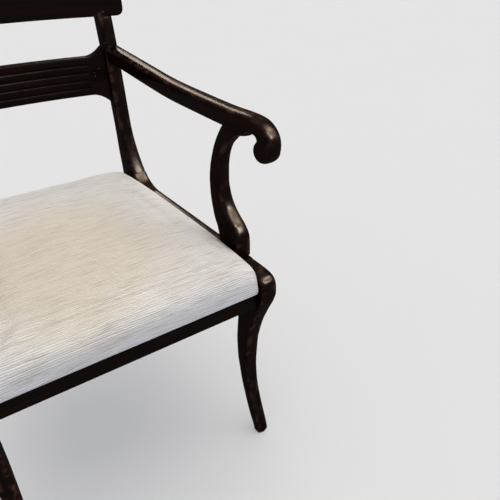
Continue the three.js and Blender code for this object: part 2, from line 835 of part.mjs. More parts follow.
// Rails across the back: a band that bows back in the middle and leans with the stiles
function bowedBand({ levels, halfLength, curve, middleOf, thicknessOf }) {
  const places = Array.from({ length: bandSteps + 1 }, (_, i) => (2 * i) / bandSteps - 1);
  return stackedBody(levels.map((z) => {
    const line = (share, half) => new THREE.Vector3(
      share * halfLength, middleOf(z) + curve * (1 - share ** 2) + half, z,
    );
    const [front, back] = thicknessOf(z);
    return [
      ...places.map((share) => line(share, -front)),
      ...[...places].reverse().map((share) => line(share, back)),
    ];
  }));
}

// A body through the whole depth of the chair with a given outline seen from the front
function frontOutlineBody(shape) {
  const body = new THREE.ExtrudeGeometry(shape, {
    depth: 2 * heelBack, bevelEnabled: false, curveSegments: curveSteps,
  });
  return body.applyMatrix4(seenFromFront).translate(0, 2 * heelBack, 0);
}

const bandMiddle = (z) => chairY(0, stileMiddle(Math.min(z, stileTop)));
const midRailEnd = planeX(-stileWidth / 2, chairY(-stileWidth / 2, stileMiddle(midRailMiddle)));

function midRailShape() {
  const waist = (midRailHeight - midRailWaist) / 2;
  const [low, high] = [midRailBottom, midRailBottom + midRailHeight];
  const far = midRailEnd + midRailSweep;
  const near = midRailEnd - midRailSweep;
  const shape = new THREE.Shape();
  shape.moveTo(-far, low);
  shape.lineTo(-midRailEnd, low);
  shape.quadraticCurveTo(-(near + midRailEnd) / 2, low + waist, -near, low + waist);
  shape.lineTo(near, low + waist);
  shape.quadraticCurveTo((near + midRailEnd) / 2, low + waist, midRailEnd, low);
  shape.lineTo(far, low);
  shape.lineTo(far, high);
  shape.lineTo(midRailEnd, high);
  shape.quadraticCurveTo((near + midRailEnd) / 2, high - waist, near, high - waist);
  shape.lineTo(-near, high - waist);
  shape.quadraticCurveTo(-(near + midRailEnd) / 2, high - waist, -midRailEnd, high);
  shape.lineTo(-far, high);
  return shape;
}

function addMidRail() {
  const reedLow = midRailBottom + (midRailHeight - midRailWaist) / 2;
  const reedSteps = reedCount * stepsPerReed;
  const reedLevels = Array.from(
    { length: reedSteps + 1 }, (_, i) => reedLow + (i / reedSteps) * midRailWaist,
  );
  const levels = [midRailBottom, ...reedLevels, midRailBottom + midRailHeight];
  const relief = (z) => {
    const reed = ((z - reedLow) / midRailWaist) * reedCount;
    const inside = reed > 0 && reed < reedCount;
    return inside ? reedRelief * Math.abs(Math.sin(reed * Math.PI)) : 0;
  };
  const band = bowedBand({
    levels,
    halfLength: midRailEnd + midRailSweep,
    curve: midRailCurve,
    middleOf: bandMiddle,
    thicknessOf: (z) => [midRailThickness / 2 - reedRelief + relief(z), midRailThickness / 2],
  });
  const end = (y) => planeX(-stileWidth / 2 - jointGap, y);
  const between = planBody(
    [[-end(0), 0], [end(0), 0], [end(heelBack), heelBack], [-end(heelBack), heelBack]],
    [0, 2 * stileTop],
  );
  const shaped = common(common(band, frontOutlineBody(midRailShape())), between);
  const tenon = toGeometry(toSolid(midRailTenon()));
  add('mid_rail', join([shaped, tenon, mirrored(tenon)]), mahogany);
}

const crestStileX = planeX(0, chairY(0, stileMiddle(stileTop)));
const crestHalfLength = crestStileX + crestOverhang;

function crestShape() {
  const [low, high] = [stileTop + jointGap, stileTop + crestHeight];
  const inner = crestHalfLength - crestCorner;
  const shape = new THREE.Shape();
  shape.moveTo(-inner, low);
  shape.lineTo(inner, low);
  shape.quadraticCurveTo(crestHalfLength, low, crestHalfLength, low + crestCorner);
  shape.lineTo(crestHalfLength, high - crestArch - crestCorner);
  shape.quadraticCurveTo(crestHalfLength, high - crestArch, inner, high - crestArch);
  shape.quadraticCurveTo(0, high + crestArch, -inner, high - crestArch);
  shape.quadraticCurveTo(
    -crestHalfLength, high - crestArch, -crestHalfLength, high - crestArch - crestCorner,
  );
  shape.lineTo(-crestHalfLength, low + crestCorner);
  shape.quadraticCurveTo(-crestHalfLength, low, -inner, low);
  return shape;
}

function addCrestRail() {
  const rise = (z) => (z - stileTop) / crestHeight;
  const halfAt = (z) => THREE.MathUtils.lerp(crestThickness, crestTopThickness, rise(z)) / 2;
  const curveAtStile = crestCurve * (1 - (crestStileX / crestHalfLength) ** 2);
  const band = bowedBand({
    levels: crestLevelShares.map((share) => stileTop + jointGap + share * crestHeight),
    halfLength: crestHalfLength,
    curve: crestCurve,
    middleOf: (z) => bandMiddle(z) - curveAtStile + crestLean * rise(z) ** 2,
    thicknessOf: (z) => [halfAt(z), halfAt(z)],
  });
  const shaped = common(band, frontOutlineBody(crestShape()));
  const mortise = toGeometry(toSolid(crestTenon(jointGap).applyMatrix4(leftSide.matrixWorld)));
  add('crest_rail', cut(shaped, [mortise, mirrored(mortise)]), mahogany);
}

// Fasteners of the frame
function addMirrored(name, geometry, material) {
  const left = toGeometry(toSolid(geometry));
  add(`${name}_left`, left, material);
  add(`${name}_right`, mirrored(left), material);
}

function addScrews() {
  [['front', frontCorner], ['rear', rearCorner]].forEach(([place, corner]) => {
    [['rail', railScrewPlace(corner)], ['side', sideScrewPlace(corner)]].forEach(([into, at]) => {
      addMirrored(`block_screw_${place}_${into}`, placed(screw(blockScrewLength), ...at), steel);
    });
  });
  battenScrewPlaces().forEach((at, i) => {
    addPair(`batten_screw_${i + 1}`, placed(screw(battenScrewLength), ...at), steel);
  });
  addPair('support_screw', placed(screw(supportScrewLength), ...supportScrewAt), steel);
  addPair('arm_screw', placed(screw(armScrewLength), Math.PI, 0, armScrewHead, armEndHeight), steel);
  const plugEnd = armScrewHead + armScrewDepth;
  addPair(
    'arm_plug', rodAlongBack(screwHeadRadius, [plugEnd - plugLength, plugEnd], armEndHeight),
    mahogany,
  );
}

// Drop-in seat
const coverOuter = innerFace - seatGap;
const frameOuter = coverOuter - coverThickness - jointGap;
const frameBottom = seatLedge + jointGap;
const frameTop = frameBottom + frameBarHeight;
const seatFront = frontRailBacks[0];
const seatBack = postInnerBack - seatBackInset;
const frameFront = seatFront + coverThickness;
const frameBack = seatBack - coverThickness - jointGap - overrun;

// Corners of a strip of a level sheet between two planes of the side, left half
function sideStrip(outer, inner, [front, back]) {
  return [
    [planeX(inner, front), front], [planeX(outer, front), front],
    [planeX(outer, back), back], [planeX(inner, back), back],
  ];
}

function fullWidth(outer, [front, back]) {
  return [
    [-planeX(outer, front), front], [planeX(outer, front), front],
    [planeX(outer, back), back], [-planeX(outer, back), back],
  ];
}

const frontBar = [frameFront, frameFront + frameBarWidth];
const backBar = [frameBack - frameBarWidth, frameBack];
const barHeights = [frameBottom, frameTop];
const barTenonHeights = centred((frameBottom + frameTop) / 2, frameTenonThickness);

function barTenon(gap = 0) {
  return planBody(
    sideStrip(
      frameOuter - frameTenonInset + gap, frameOuter - frameBarWidth + frameTenonInset - gap,
      grown([frontBar[1] - frameTenonLength, backBar[0] + frameTenonLength], gap),
    ),
    grown(barTenonHeights, gap),
  );
}

// Webbing: straps that go over and under one another
const strapBase = frameTop + jointGap;
const strapLevels = [strapBase, strapBase + strapThickness + jointGap];
const strapPlaces = (count, pitch) => Array.from(
  { length: count }, (_, i) => (i - (count - 1) / 2) * pitch,
);
const longStrapSpan = 2 * (planeX(frameOuter, frameBack) - strapSideInset) - strapWidth;
const longStrapCount = Math.round(longStrapSpan / (strapWidth + strapSpacing)) + 1;
const longPlaces = strapPlaces(longStrapCount, longStrapSpan / (longStrapCount - 1));
const seatMiddle = (frameFront + frameBack) / 2;
const crossPlaces = strapPlaces(crossStrapCount, crossStrapPitch).map((y) => seatMiddle + y);

// A strap along x, from its start to its end, raised where it goes over another
function strap([start, end], crossings, overFirst) {
  const half = strapWidth / 2 + strapFlat;
  const heights = crossings.flatMap((place, i) => {
    const level = strapLevels[(i + overFirst) % 2];
    return [[place - half, level], [place + half, level]];
  });
  const line = [[start, strapBase], ...heights, [end, strapBase]];
  const upper = [...line].reverse().map(([at, level]) => [at, level + strapThickness]);
  const shape = new THREE.Shape([...line, ...upper].map(([at, z]) => new THREE.Vector2(at, z)));
  const body = new THREE.ExtrudeGeometry(shape, { depth: strapWidth, bevelEnabled: false });
  return body.translate(0, 0, -strapWidth / 2);
}

const longEnds = [frameFront + strapEndInset, frameBack - strapEndInset];
const crossEnd = (y) => planeX(frameOuter, y) - strapEndInset
  - (strapWidth / 2) * Math.tan(splayAngle);

const dustBacks = [frameFront + dustCoverInset, frameBack - dustCoverInset];
const dustTop = frameBottom - jointGap;
const dustBottom = dustTop - dustCoverThickness;

function addSeatFrame() {
  const rounded = planBody(cushionLevel({
    front: frameFront, back: frameBack, outer: frameOuter, z: 0, radius: frameCorner,
  }).map(({ x, y }) => [x, y]), barHeights);
  const leftMortise = toGeometry(toSolid(barTenon(jointGap)));
  [['front', frontBar], ['back', backBar]].forEach(([place, bar]) => {
    const body = common(rounded, planBody(fullWidth(railWidth, bar), barHeights));
    add(`seat_frame_${place}`, cut(body, [leftMortise, mirrored(leftMortise)]), beech);
  });
  const between = [frontBar[1] + jointGap, backBar[0] - jointGap];
  const side = toGeometry(toSolid(planBody(
    sideStrip(frameOuter, frameOuter - frameBarWidth, between), barHeights,
  )));
  addMirrored('seat_frame', join([side, barTenon()]), beech);
}

function addWebbing() {
  longPlaces.forEach((x, i) => {
    const body = strap(longEnds, crossPlaces, i).applyMatrix4(seenFromSide).translate(x, 0, 0);
    add(`webbing_long_${i + 1}`, toGeometry(toSolid(body)), jute);
  });
  crossPlaces.forEach((y, i) => {
    const ends = [-crossEnd(y), crossEnd(y)];
    const body = strap(ends, longPlaces, i + 1).applyMatrix4(seenFromFront).translate(0, y, 0);
    add(`webbing_cross_${i + 1}`, toGeometry(toSolid(body)), jute);
  });
}

const hessianBottom = strapLevels[1] + strapThickness + jointGap;
const hessianTop = hessianBottom + hessianThickness;

function addSheets() {
  const hessianBacks = [frameFront + hessianInset, frameBack - hessianInset];
  const sheet = planBody(
    fullWidth(frameOuter - hessianInset, hessianBacks), [hessianBottom, hessianTop],
  );
  add('hessian', toGeometry(toSolid(sheet)), jute);
  const dust = planBody(
    fullWidth(frameOuter - dustCoverInset, dustBacks), [dustBottom, dustTop],
  );
  add('dust_cover', toGeometry(toSolid(dust)), cambric);
}

// A level outline of the cushion: four sides and four round corners
function cushionLevel({ front, back, outer, z, radius }) {
  const half = (y) => planeX(outer, y);
  return roundedOutline([
    [-half(front + radius), front, radius, 1, 1], [half(front + radius), front, radius, -1, 1],
    [half(back - radius), back, radius, -1, -1], [-half(back - radius), back, radius, 1, -1],
  ], z, cushionCornerSteps);
}

const bulgeRun = smoothRun(column(cushionEdgeShares, 1));
const roundRun = smoothRun(column(cushionEdgeShares, 2));

// The cushion's outside, or the same form drawn in all over by a given inset
function cushionBody(inset, bottom) {
  const levelAt = (z) => {
    const share = (z + inset - frameBottom) / cushionShoulder;
    const round = roundRun(share) * cushionRounding;
    return cushionLevel({
      z,
      front: seatFront - bulgeRun(share) * seatFrontOverhang + inset,
      back: seatBack - cushionBackShare * round - inset,
      outer: coverOuter - round - inset,
      radius: cushionRounding * (cushionCornerShare + share) - inset,
    });
  };
  const heights = cushionEdgeShares
    .map(([share]) => frameBottom + share * cushionShoulder - inset)
    .filter((z) => z > bottom + overrun / 2);
  const edge = [bottom, ...heights].map(levelAt);
  const shoulder = edge.at(-1);
  const top = shoulder[0].z;
  const middle = new THREE.Vector3(0, seatMiddle, top);
  const crown = cushionCrownShares.map(([inwards, rise]) => shoulder.map((point) => (
    point.clone().lerp(middle, inwards).setZ(top + rise * seatCrown)
  )));
  return stackedBody([...edge, ...crown]);
}

function addCushion() {
  const outside = cushionBody(0, frameBottom + jointGap);
  const inside = cushionBody(coverThickness, frameBottom - overrun);
  add('seat_cover', cut(outside, [inside]), linen);
  add('seat_padding', cushionBody(coverThickness + jointGap, hessianTop + jointGap), wadding);
}

addFrontLegs();
addRearPosts();
addSideRails();
addCrossRails();
addCornerBlocks();
addBattens();
addArms();
addArmSupports();
addMidRail();
addCrestRail();
addScrews();
addSeatFrame();
addWebbing();
addSheets();
addCushion();

// The origin goes under the middle of the chair's box
const box = new THREE.Box3().setFromObject(chair);
chair.position.y = -(box.min.y + box.max.y) / 2;

export default chair;
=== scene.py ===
"""Looks of a klismos armchair: dark polished mahogany and a loose seat in ribbed linen."""

import logging
import math
from collections.abc import Callable, Sequence
from dataclasses import dataclass, field, replace
from enum import Enum

import bmesh
import bpy
import numpy as np
from mathutils import Matrix, Vector
from mathutils.geometry import delaunay_2d_cdt
from mathutils.kdtree import KDTree


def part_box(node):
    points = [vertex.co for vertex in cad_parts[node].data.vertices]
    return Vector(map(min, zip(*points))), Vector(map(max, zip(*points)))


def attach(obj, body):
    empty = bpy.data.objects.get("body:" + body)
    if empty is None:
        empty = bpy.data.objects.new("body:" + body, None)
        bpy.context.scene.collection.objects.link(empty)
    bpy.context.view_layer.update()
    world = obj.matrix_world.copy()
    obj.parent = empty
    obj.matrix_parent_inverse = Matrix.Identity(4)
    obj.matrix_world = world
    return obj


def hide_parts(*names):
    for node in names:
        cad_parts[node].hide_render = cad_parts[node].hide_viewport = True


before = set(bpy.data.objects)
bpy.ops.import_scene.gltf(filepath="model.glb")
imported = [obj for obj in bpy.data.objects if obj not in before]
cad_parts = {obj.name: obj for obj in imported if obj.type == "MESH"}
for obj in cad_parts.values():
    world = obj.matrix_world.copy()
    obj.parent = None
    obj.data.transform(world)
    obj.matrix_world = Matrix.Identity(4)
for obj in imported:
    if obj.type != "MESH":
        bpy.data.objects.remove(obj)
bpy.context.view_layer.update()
LOG = logging.getLogger("klismos")
Run = Callable[[np.ndarray], np.ndarray]


class Side(Enum):
    """The two side frames, by the sitter's own left and right."""

    LEFT = 1
    RIGHT = -1

    @property
    def word(self) -> str:
        """The side as a word for names."""
        return self.name.lower()


class Facing(Enum):
    """How a flat board stands: each letter is the way that its a, b and t axes point."""

    SIDE = Matrix(((0, 0, 1), (1, 0, 0), (0, 1, 0)))
    FRONT = Matrix(((1, 0, 0), (0, 0, -1), (0, 1, 0)))
    PLAN = Matrix(((1, 0, 0), (0, 1, 0), (0, 0, 1)))


class Grain(Enum):
    """Which way the grain runs on a board: along its a axis or its b axis."""

    ALONG_A = (0, 1, 2)
    ALONG_B = (1, 0, 2)


# Tables of outlines, in shares of the sizes named beside them. The same tables shape the solids.
# Front of the front leg: shares of rail_top and of knee_depth
LEG_FRONT_SHARES = (
    (0, 0.014), (0.03, 0.05), (0.09, 0.175), (0.195, 0.4), (0.3, 0.56), (0.42, 0.628),
    (0.56, 0.6), (0.686, 0.46), (0.79, 0.246), (0.87, 0.054), (0.91, 0), (0.93, 0.005),
    (0.95, 0.02), (0.97, 0.06), (0.986, 0.15), (0.996, 0.3), (1, 0.51),
)
# Back of the front leg: shares of rail_top and of knee_depth
LEG_BACK_SHARES = (
    (0, 0.29), (0.03, 0.34), (0.085, 0.495), (0.15, 0.645), (0.22, 0.78), (0.295, 0.91),
    (0.37, 1), (0.44, 1.077), (0.56, 1.108), (0.64, 1.075), (0.73, 1.027), (0.79, 1.003),
    (0.805, 1), (1, 1),
)
# Width of every leg: shares of rail_top and of the growth from foot_width to rail_width
LEG_WIDTH_SHARES = ((0, 0), (0.14, 0.06), (0.43, 0.31), (0.686, 0.75), (0.85, 1), (1, 1))
# Rear leg, front and back: shares of rail_top and of the way to the heel
REAR_FRONT_SHARES = (
    (0, 1), (0.137, 0.76), (0.274, 0.54), (0.411, 0.346), (0.549, 0.192), (0.686, 0.077),
    (0.789, 0.008), (0.82, 0), (1, 0),
)
REAR_BACK_SHARES = (
    (0, 1), (0.137, 0.73), (0.274, 0.49), (0.411, 0.29), (0.549, 0.14), (0.686, 0.04),
    (0.789, 0.005), (0.85, 0), (1, 0),
)
# Stile, front, back and width: shares of its rise above the rail and of its way back
STILE_FRONT_SHARES = (
    (0.068, 0), (0.122, 0.173), (0.188, 0.346), (0.257, 0.481), (0.324, 0.579),
    (0.485, 0.684), (0.678, 0.782), (0.842, 0.872), (1, 1),
)
STILE_BACK_SHARES = (
    (0, 0), (0.076, 0.03), (0.188, 0.2), (0.257, 0.26), (0.324, 0.31), (0.485, 0.46),
    (0.612, 0.565), (0.755, 0.705), (1, 1),
)
STILE_WIDTH_SHARES = ((0, 1), (0.1, 0.85), (0.2, 0.45), (0.42, 0), (1, 0))
# Arm support: share of its height, then front and back as shares of support_foot
SUPPORT_FRONT_SHARES = (
    (0, 0), (0.1, 0), (0.19, 0.04), (0.26, 0.24), (0.32, 0.56), (0.385, 0.83), (0.46, 1),
    (0.56, 1.1), (0.665, 1.09), (0.755, 1.02), (0.84, 0.86), (0.91, 0.58), (0.96, 0.29),
    (1, -0.25),
)
SUPPORT_BACK_SHARES = (
    (0, 1), (0.1, 1.08), (0.19, 1.21), (0.26, 1.4), (0.32, 1.5), (0.385, 1.59), (0.46, 1.65),
    (0.56, 1.67), (0.665, 1.61), (0.755, 1.5), (0.84, 1.36), (0.91, 1.2), (0.96, 1.06),
    (1, 0.94),
)
SUPPORT_WIDTH_SHARES = ((0, 1), (0.12, 0.95), (0.35, 0.25), (0.5, 0), (0.85, 0), (1, 0.15))
# Underside of the arm behind its support: shares of arm_length and of arm_rise
ARM_UNDERSIDE_SHARES = (
    (1, 1), (0.824, 0.6), (0.708, 0.34), (0.594, 0.1), (0.476, 0), (0.24, 0),
)
# Top of the arm ahead of its support, in scroll radii from the scroll's centre
SCROLL_TOP_SHARES = (
    (2.3, 2.44), (1.04, 2.42), (0.28, 2.25), (-0.22, 1.98), (-0.55, 1.7), (-0.86, 1.27),
    (-1.02, 0.75), (-1.04, 0.35), (-1, 0),
)
# Cove behind the scroll: shares of the way from its notch back to the support, and heights
# above the notch in scroll radii
SCROLL_COVE_SHARES = ((0.2, 0.192), (0.43, 0.232), (0.7, 0.152))
# Edge of the seat from its foot to its shoulder: shares of its height, of its bulge and of
# its rounding
CUSHION_BULGE_SHARES = (
    (0, 0.15), (0.07, 0.75), (0.2, 1), (0.53, 1), (0.68, 0.85), (0.8, 0.55), (0.91, 0.05),
    (1, -0.75),
)
CUSHION_ROUND_SHARES = (
    (0, 0), (0.07, 0), (0.2, 0), (0.53, 0), (0.68, 0.02), (0.8, 0.12), (0.91, 0.42), (1, 1),
)
# Fullness of the cushion's sides above the rails: shares of its height and of its fullness
CUSHION_FULLNESS_SHARES = ((0, 0), (0.55, 0), (0.64, 0.7), (0.75, 1), (1, 1))
# Crown of the cushion: shares of the way from its edge to its middle and of its rise
CROWN_SHARES = ((0, 0), (0.14, 0.38), (0.33, 0.7), (0.58, 0.92), (0.85, 1), (1, 1))


@dataclass(frozen=True)
class Plan:
    """Driving sizes of the chair, in metres, and the places worked out from them.

    A side frame is drawn flat: x points out of the chair, y runs back from the front of the
    knee and z is up. It is then turned in by the splay.
    """

    front_width: float = 0.534
    frame_depth: float = 0.512
    splay: float = math.radians(5.7)
    rail_top: float = 0.4375
    rail_width: float = 0.034
    side_rail_height: float = 0.0655
    seat_ledge: float = 0.405
    gap: float = 0.0003
    knee_depth: float = 0.074
    foot_width: float = 0.026
    post_depth: float = 0.054
    heel_rake: float = 0.1
    rear_foot_depth: float = 0.024
    stile_top: float = 0.785
    stile_lean: float = 0.039
    stile_depth: float = 0.0265
    stile_width: float = 0.03
    front_rail_setback: float = 0.0144

    @property
    def side_x(self) -> float:
        """How far the middle of a side frame stands from the middle of the chair."""
        return self.front_width / 2 - self.rail_width / 2 * math.cos(self.splay)

    @property
    def shift(self) -> float:
        """How far the side frames' own y is from the chair's y."""
        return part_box("front_rail")[0].y - self.front_rail_setback

    @property
    def post_front(self) -> float:
        """Front of the rear post at the seat rail."""
        return self.frame_depth - self.post_depth

    @property
    def stile_rise(self) -> float:
        """Height of the stile above the seat rail."""
        return self.stile_top - self.rail_top

    def side_matrix(self) -> Matrix:
        """The place of the left side frame in the chair."""
        return Matrix.Translation((self.side_x, self.shift, 0)) @ Matrix.Rotation(self.splay, 4, "Z")

    def plane_x(self, out: float, y: float) -> float:
        """Where the plane that lies `out` from the middle of the left side meets a chair y.

        Args:
            out: distance outwards from the middle of the side frame.
            y: distance back, in the side frames' own y before the shift.

        Returns:
            The x of that plane.
        """
        return self.side_x + out / math.cos(self.splay) - y * math.tan(self.splay)

    def chair_y(self, out: float, back: float) -> float:
        """The y before the shift of a place in the left side frame.

        Args:
            out: distance outwards in the side frame.
            back: distance back in the side frame.

        Returns:
            The y that it has in the chair before the shift.
        """
        return back * math.cos(self.splay) + out * math.sin(self.splay)

    def stile_front(self, z: np.ndarray | float) -> np.ndarray:
        """Front face of the stile at a height.

        Args:
            z: one height or several.

        Returns:
            Distance back of the front face at each height.
        """
        top = self.frame_depth + self.stile_lean - self.stile_depth
        share = np.maximum((np.atleast_1d(z) - self.rail_top) / self.stile_rise, STILE_FRONT_SHARES[0][0])
        return self.post_front + smooth_run(STILE_FRONT_SHARES)(share) * (top - self.post_front)

    def stile_back(self, z: np.ndarray | float) -> np.ndarray:
        """Back face of the stile at a height.

        Args:
            z: one height or several.

        Returns:
            Distance back of the back face at each height.
        """
        share = (np.atleast_1d(z) - self.rail_top) / self.stile_rise
        return self.frame_depth + smooth_run(STILE_BACK_SHARES)(share) * self.stile_lean

    def stile_middle(self, z: float) -> float:
        """Middle of the stile's depth at a height."""
        return float((self.stile_front(z)[0] + self.stile_back(z)[0]) / 2)

    def band_middle(self, z: float) -> float:
        """The y before the shift at which a rail across the back stands at a height."""
        return self.chair_y(0, self.stile_middle(min(z, self.stile_top)))


PLAN = Plan()


# Curves and outlines
def smooth_run(table: Sequence[tuple[float, float]]) -> Run:
    """A smooth curve through [at, value] pairs that never swings past them.

    Args:
        table: pairs in rising order of at.

    Returns:
        A function from places to values.
    """
    at, value = np.array(table, float).T
    steps = np.diff(value) / np.diff(at)
    before, after = np.r_[steps[0], steps], np.r_[steps, steps[-1]]
    same = before * after > 0
    total = np.where(same, before + after, 1)
    slopes = np.where(same, 2 * before * after / total, 0)

    def run(places: np.ndarray) -> np.ndarray:
        """The curve's value at each place."""
        i = np.clip(np.searchsorted(at, places, side="right") - 1, 0, len(at) - 2)
        width = at[i + 1] - at[i]
        t = np.clip((places - at[i]) / width, 0, 1)
        h0, h1 = (1 + 2 * t) * (1 - t) ** 2, t * (1 - t) ** 2
        h2, h3 = t * t * (3 - 2 * t), t * t * (t - 1)
        return h0 * value[i] + h1 * width * slopes[i] + h2 * value[i + 1] + h3 * width * slopes[i + 1]

    return run


def spline(points: Sequence[Sequence[float]], count: int) -> np.ndarray:
    """A line through every point that turns smoothly between them.

    Args:
        points: the places that it goes through, in order.
        count: how many stretches the line gets.

    Returns:
        count + 1 places along the line.
    """
    places = np.array(points, float)
    ends = np.vstack([places[:1], places, places[-1:]])
    at = np.linspace(0, len(places) - 1, count + 1)
    i = np.minimum(at.astype(int), len(places) - 2)
    t = (at - i)[:, None]
    p0, p1, p2, p3 = ends[i], ends[i + 1], ends[i + 2], ends[i + 3]
    v0, v1 = (p2 - p0) / 2, (p3 - p1) / 2
    return (2 * (p1 - p2) + v0 + v1) * t**3 + (3 * (p2 - p1) - 2 * v0 - v1) * t**2 + v0 * t + p1


def resampled(outline: np.ndarray, step: float) -> np.ndarray:
    """A closed outline with evenly spaced corners.

    Args:
        outline: its corners in order.
        step: the spacing to aim for.

    Returns:
        The new corners.
    """
    closed = np.vstack([outline, outline[:1]])
    lengths = np.r_[0, np.cumsum(np.hypot(*np.diff(closed, axis=0).T))]
    count = max(12, round(lengths[-1] / step))
    at = np.linspace(0, lengths[-1], count, endpoint=False)
    return np.stack([np.interp(at, lengths, closed[:, axis]) for axis in (0, 1)], axis=1)


def softened(outline: np.ndarray, reach: float, step: float) -> np.ndarray:
    """A closed outline with its corners eased.

    Args:
        outline: its corners in order.
        reach: how far along the outline each corner is spread.
        step: the spacing of the new corners.

    Returns:
        The eased outline, evenly spaced.
    """
    fine = resampled(outline, step / 2)
    spread = max(1, int(3 * reach / (step / 2)))
    offsets = np.arange(-spread, spread + 1)
    weights = np.exp(-0.5 * (offsets * step / 2 / reach) ** 2)
    weights /= weights.sum()
    eased = sum(w * np.roll(fine, -o, axis=0) for w, o in zip(weights, offsets))
    return resampled(eased, step)


def gaps_to(points: np.ndarray, outline: np.ndarray) -> np.ndarray:
    """Distance from each point to a closed outline.

    Args:
        points: places in the outline's plane.
        outline: its corners in order.

    Returns:
        One distance for each point.
    """
    along = np.roll(outline, -1, axis=0) - outline
    length2 = np.maximum((along**2).sum(1), 1e-18)
    found = np.empty(len(points))
    batch = 256
    for start in range(0, len(points), batch):
        rel = points[start:start + batch, None, :] - outline[None]
        t = np.clip((rel * along).sum(2) / length2, 0, 1)
        away = rel - t[..., None] * along
        found[start:start + batch] = np.sqrt((away**2).sum(2).min(1))
    return found


def inside(points: np.ndarray, outline: np.ndarray) -> np.ndarray:
    """Whether each point lies inside a closed outline.

    Args:
        points: places in the outline's plane.
        outline: its corners in order.

    Returns:
        One truth value for each point.
    """
    (x0, y0), (x1, y1) = outline.T, np.roll(outline, -1, axis=0).T
    crossings = np.zeros(len(points), int)
    for i in range(len(outline)):
        spans = (y0[i] > points[:, 1]) != (y1[i] > points[:, 1])
        slope = (x1[i] - x0[i]) / (y1[i] - y0[i]) if y1[i] != y0[i] else 0.0
        crossings += spans & (points[:, 0] < x0[i] + (points[:, 1] - y0[i]) * slope)
    return crossings % 2 == 1


def grid_in(outline: np.ndarray, spacing: float) -> np.ndarray:
    """An even grid of places inside an outline.

    Args:
        outline: its corners in order.
        spacing: the grid's pitch.

    Returns:
        The places of the grid that lie inside.
    """
    low, high = outline.min(0), outline.max(0)
    a, b = (np.arange(low[i] + spacing / 2, high[i], spacing) for i in (0, 1))
    grid = np.stack(np.meshgrid(a, b), axis=-1).reshape(-1, 2)
    return grid[inside(grid, outline)]


def rectangle(a: tuple[float, float], b: tuple[float, float]) -> np.ndarray:
    """The corners of a rectangle, anticlockwise."""
    return np.array([(a[0], b[0]), (a[1], b[0]), (a[1], b[1]), (a[0], b[1])])


@dataclass(frozen=True)
class Edge:
    """The rounding of a board's edges: how far it reaches over the face and down the edge."""

    over: float
    down: float
    steps: int = 5


@dataclass
class Shell:
    """A closed mesh in the making, with what its corners carry for the finish.

    grain holds distances along, across and through the grain; wear is 1 on a rubbed arris, and on edges that face up
    it also holds a painted warm sheen.
    """

    points: np.ndarray
    faces: list[tuple[int, ...]]
    grain: np.ndarray
    wear_and_sheen: np.ndarray

    def turned(self, facing: Facing) -> "Shell":
        """The same mesh, stood up from its own a, b and t axes."""
        return replace(self, points=self.points @ np.array(facing.value, float).T)

    def bent(self, bend: Callable[[np.ndarray], np.ndarray]) -> "Shell":
        """The same mesh with its points moved by a function."""
        return replace(self, points=bend(self.points))

    def placed(self, place: Matrix, side: Side = Side.LEFT) -> "Shell":
        """The mesh in the chair, or its mirror image.

        Args:
            place: where it stands on the left.
            side: the side that it is for.

        Returns:
            The placed mesh, with its faces pointing out.
        """
        matrix = np.array(place, float)
        points = self.points @ matrix[:3, :3].T + matrix[:3, 3]
        if side is Side.LEFT:
            return replace(self, points=points)
        faces = [face[::-1] for face in self.faces]
        shifted = self.grain + np.array((0.37, 0.11, 0.05))
        return Shell(points * (-1, 1, 1), faces, shifted, self.wear_and_sheen)


def joined(*shells: Shell) -> Shell:
    """Several meshes as one.

    Args:
        shells: the meshes.

    Returns:
        One mesh that holds them all.
    """
    starts = np.cumsum([0, *(len(shell.points) for shell in shells)])
    return Shell(
        np.vstack([shell.points for shell in shells]),
        [tuple(i + start for i in face) for shell, start in zip(shells, starts) for face in shell.faces],
        np.vstack([shell.grain for shell in shells]),
        np.concatenate([shell.wear_and_sheen for shell in shells]),
    )


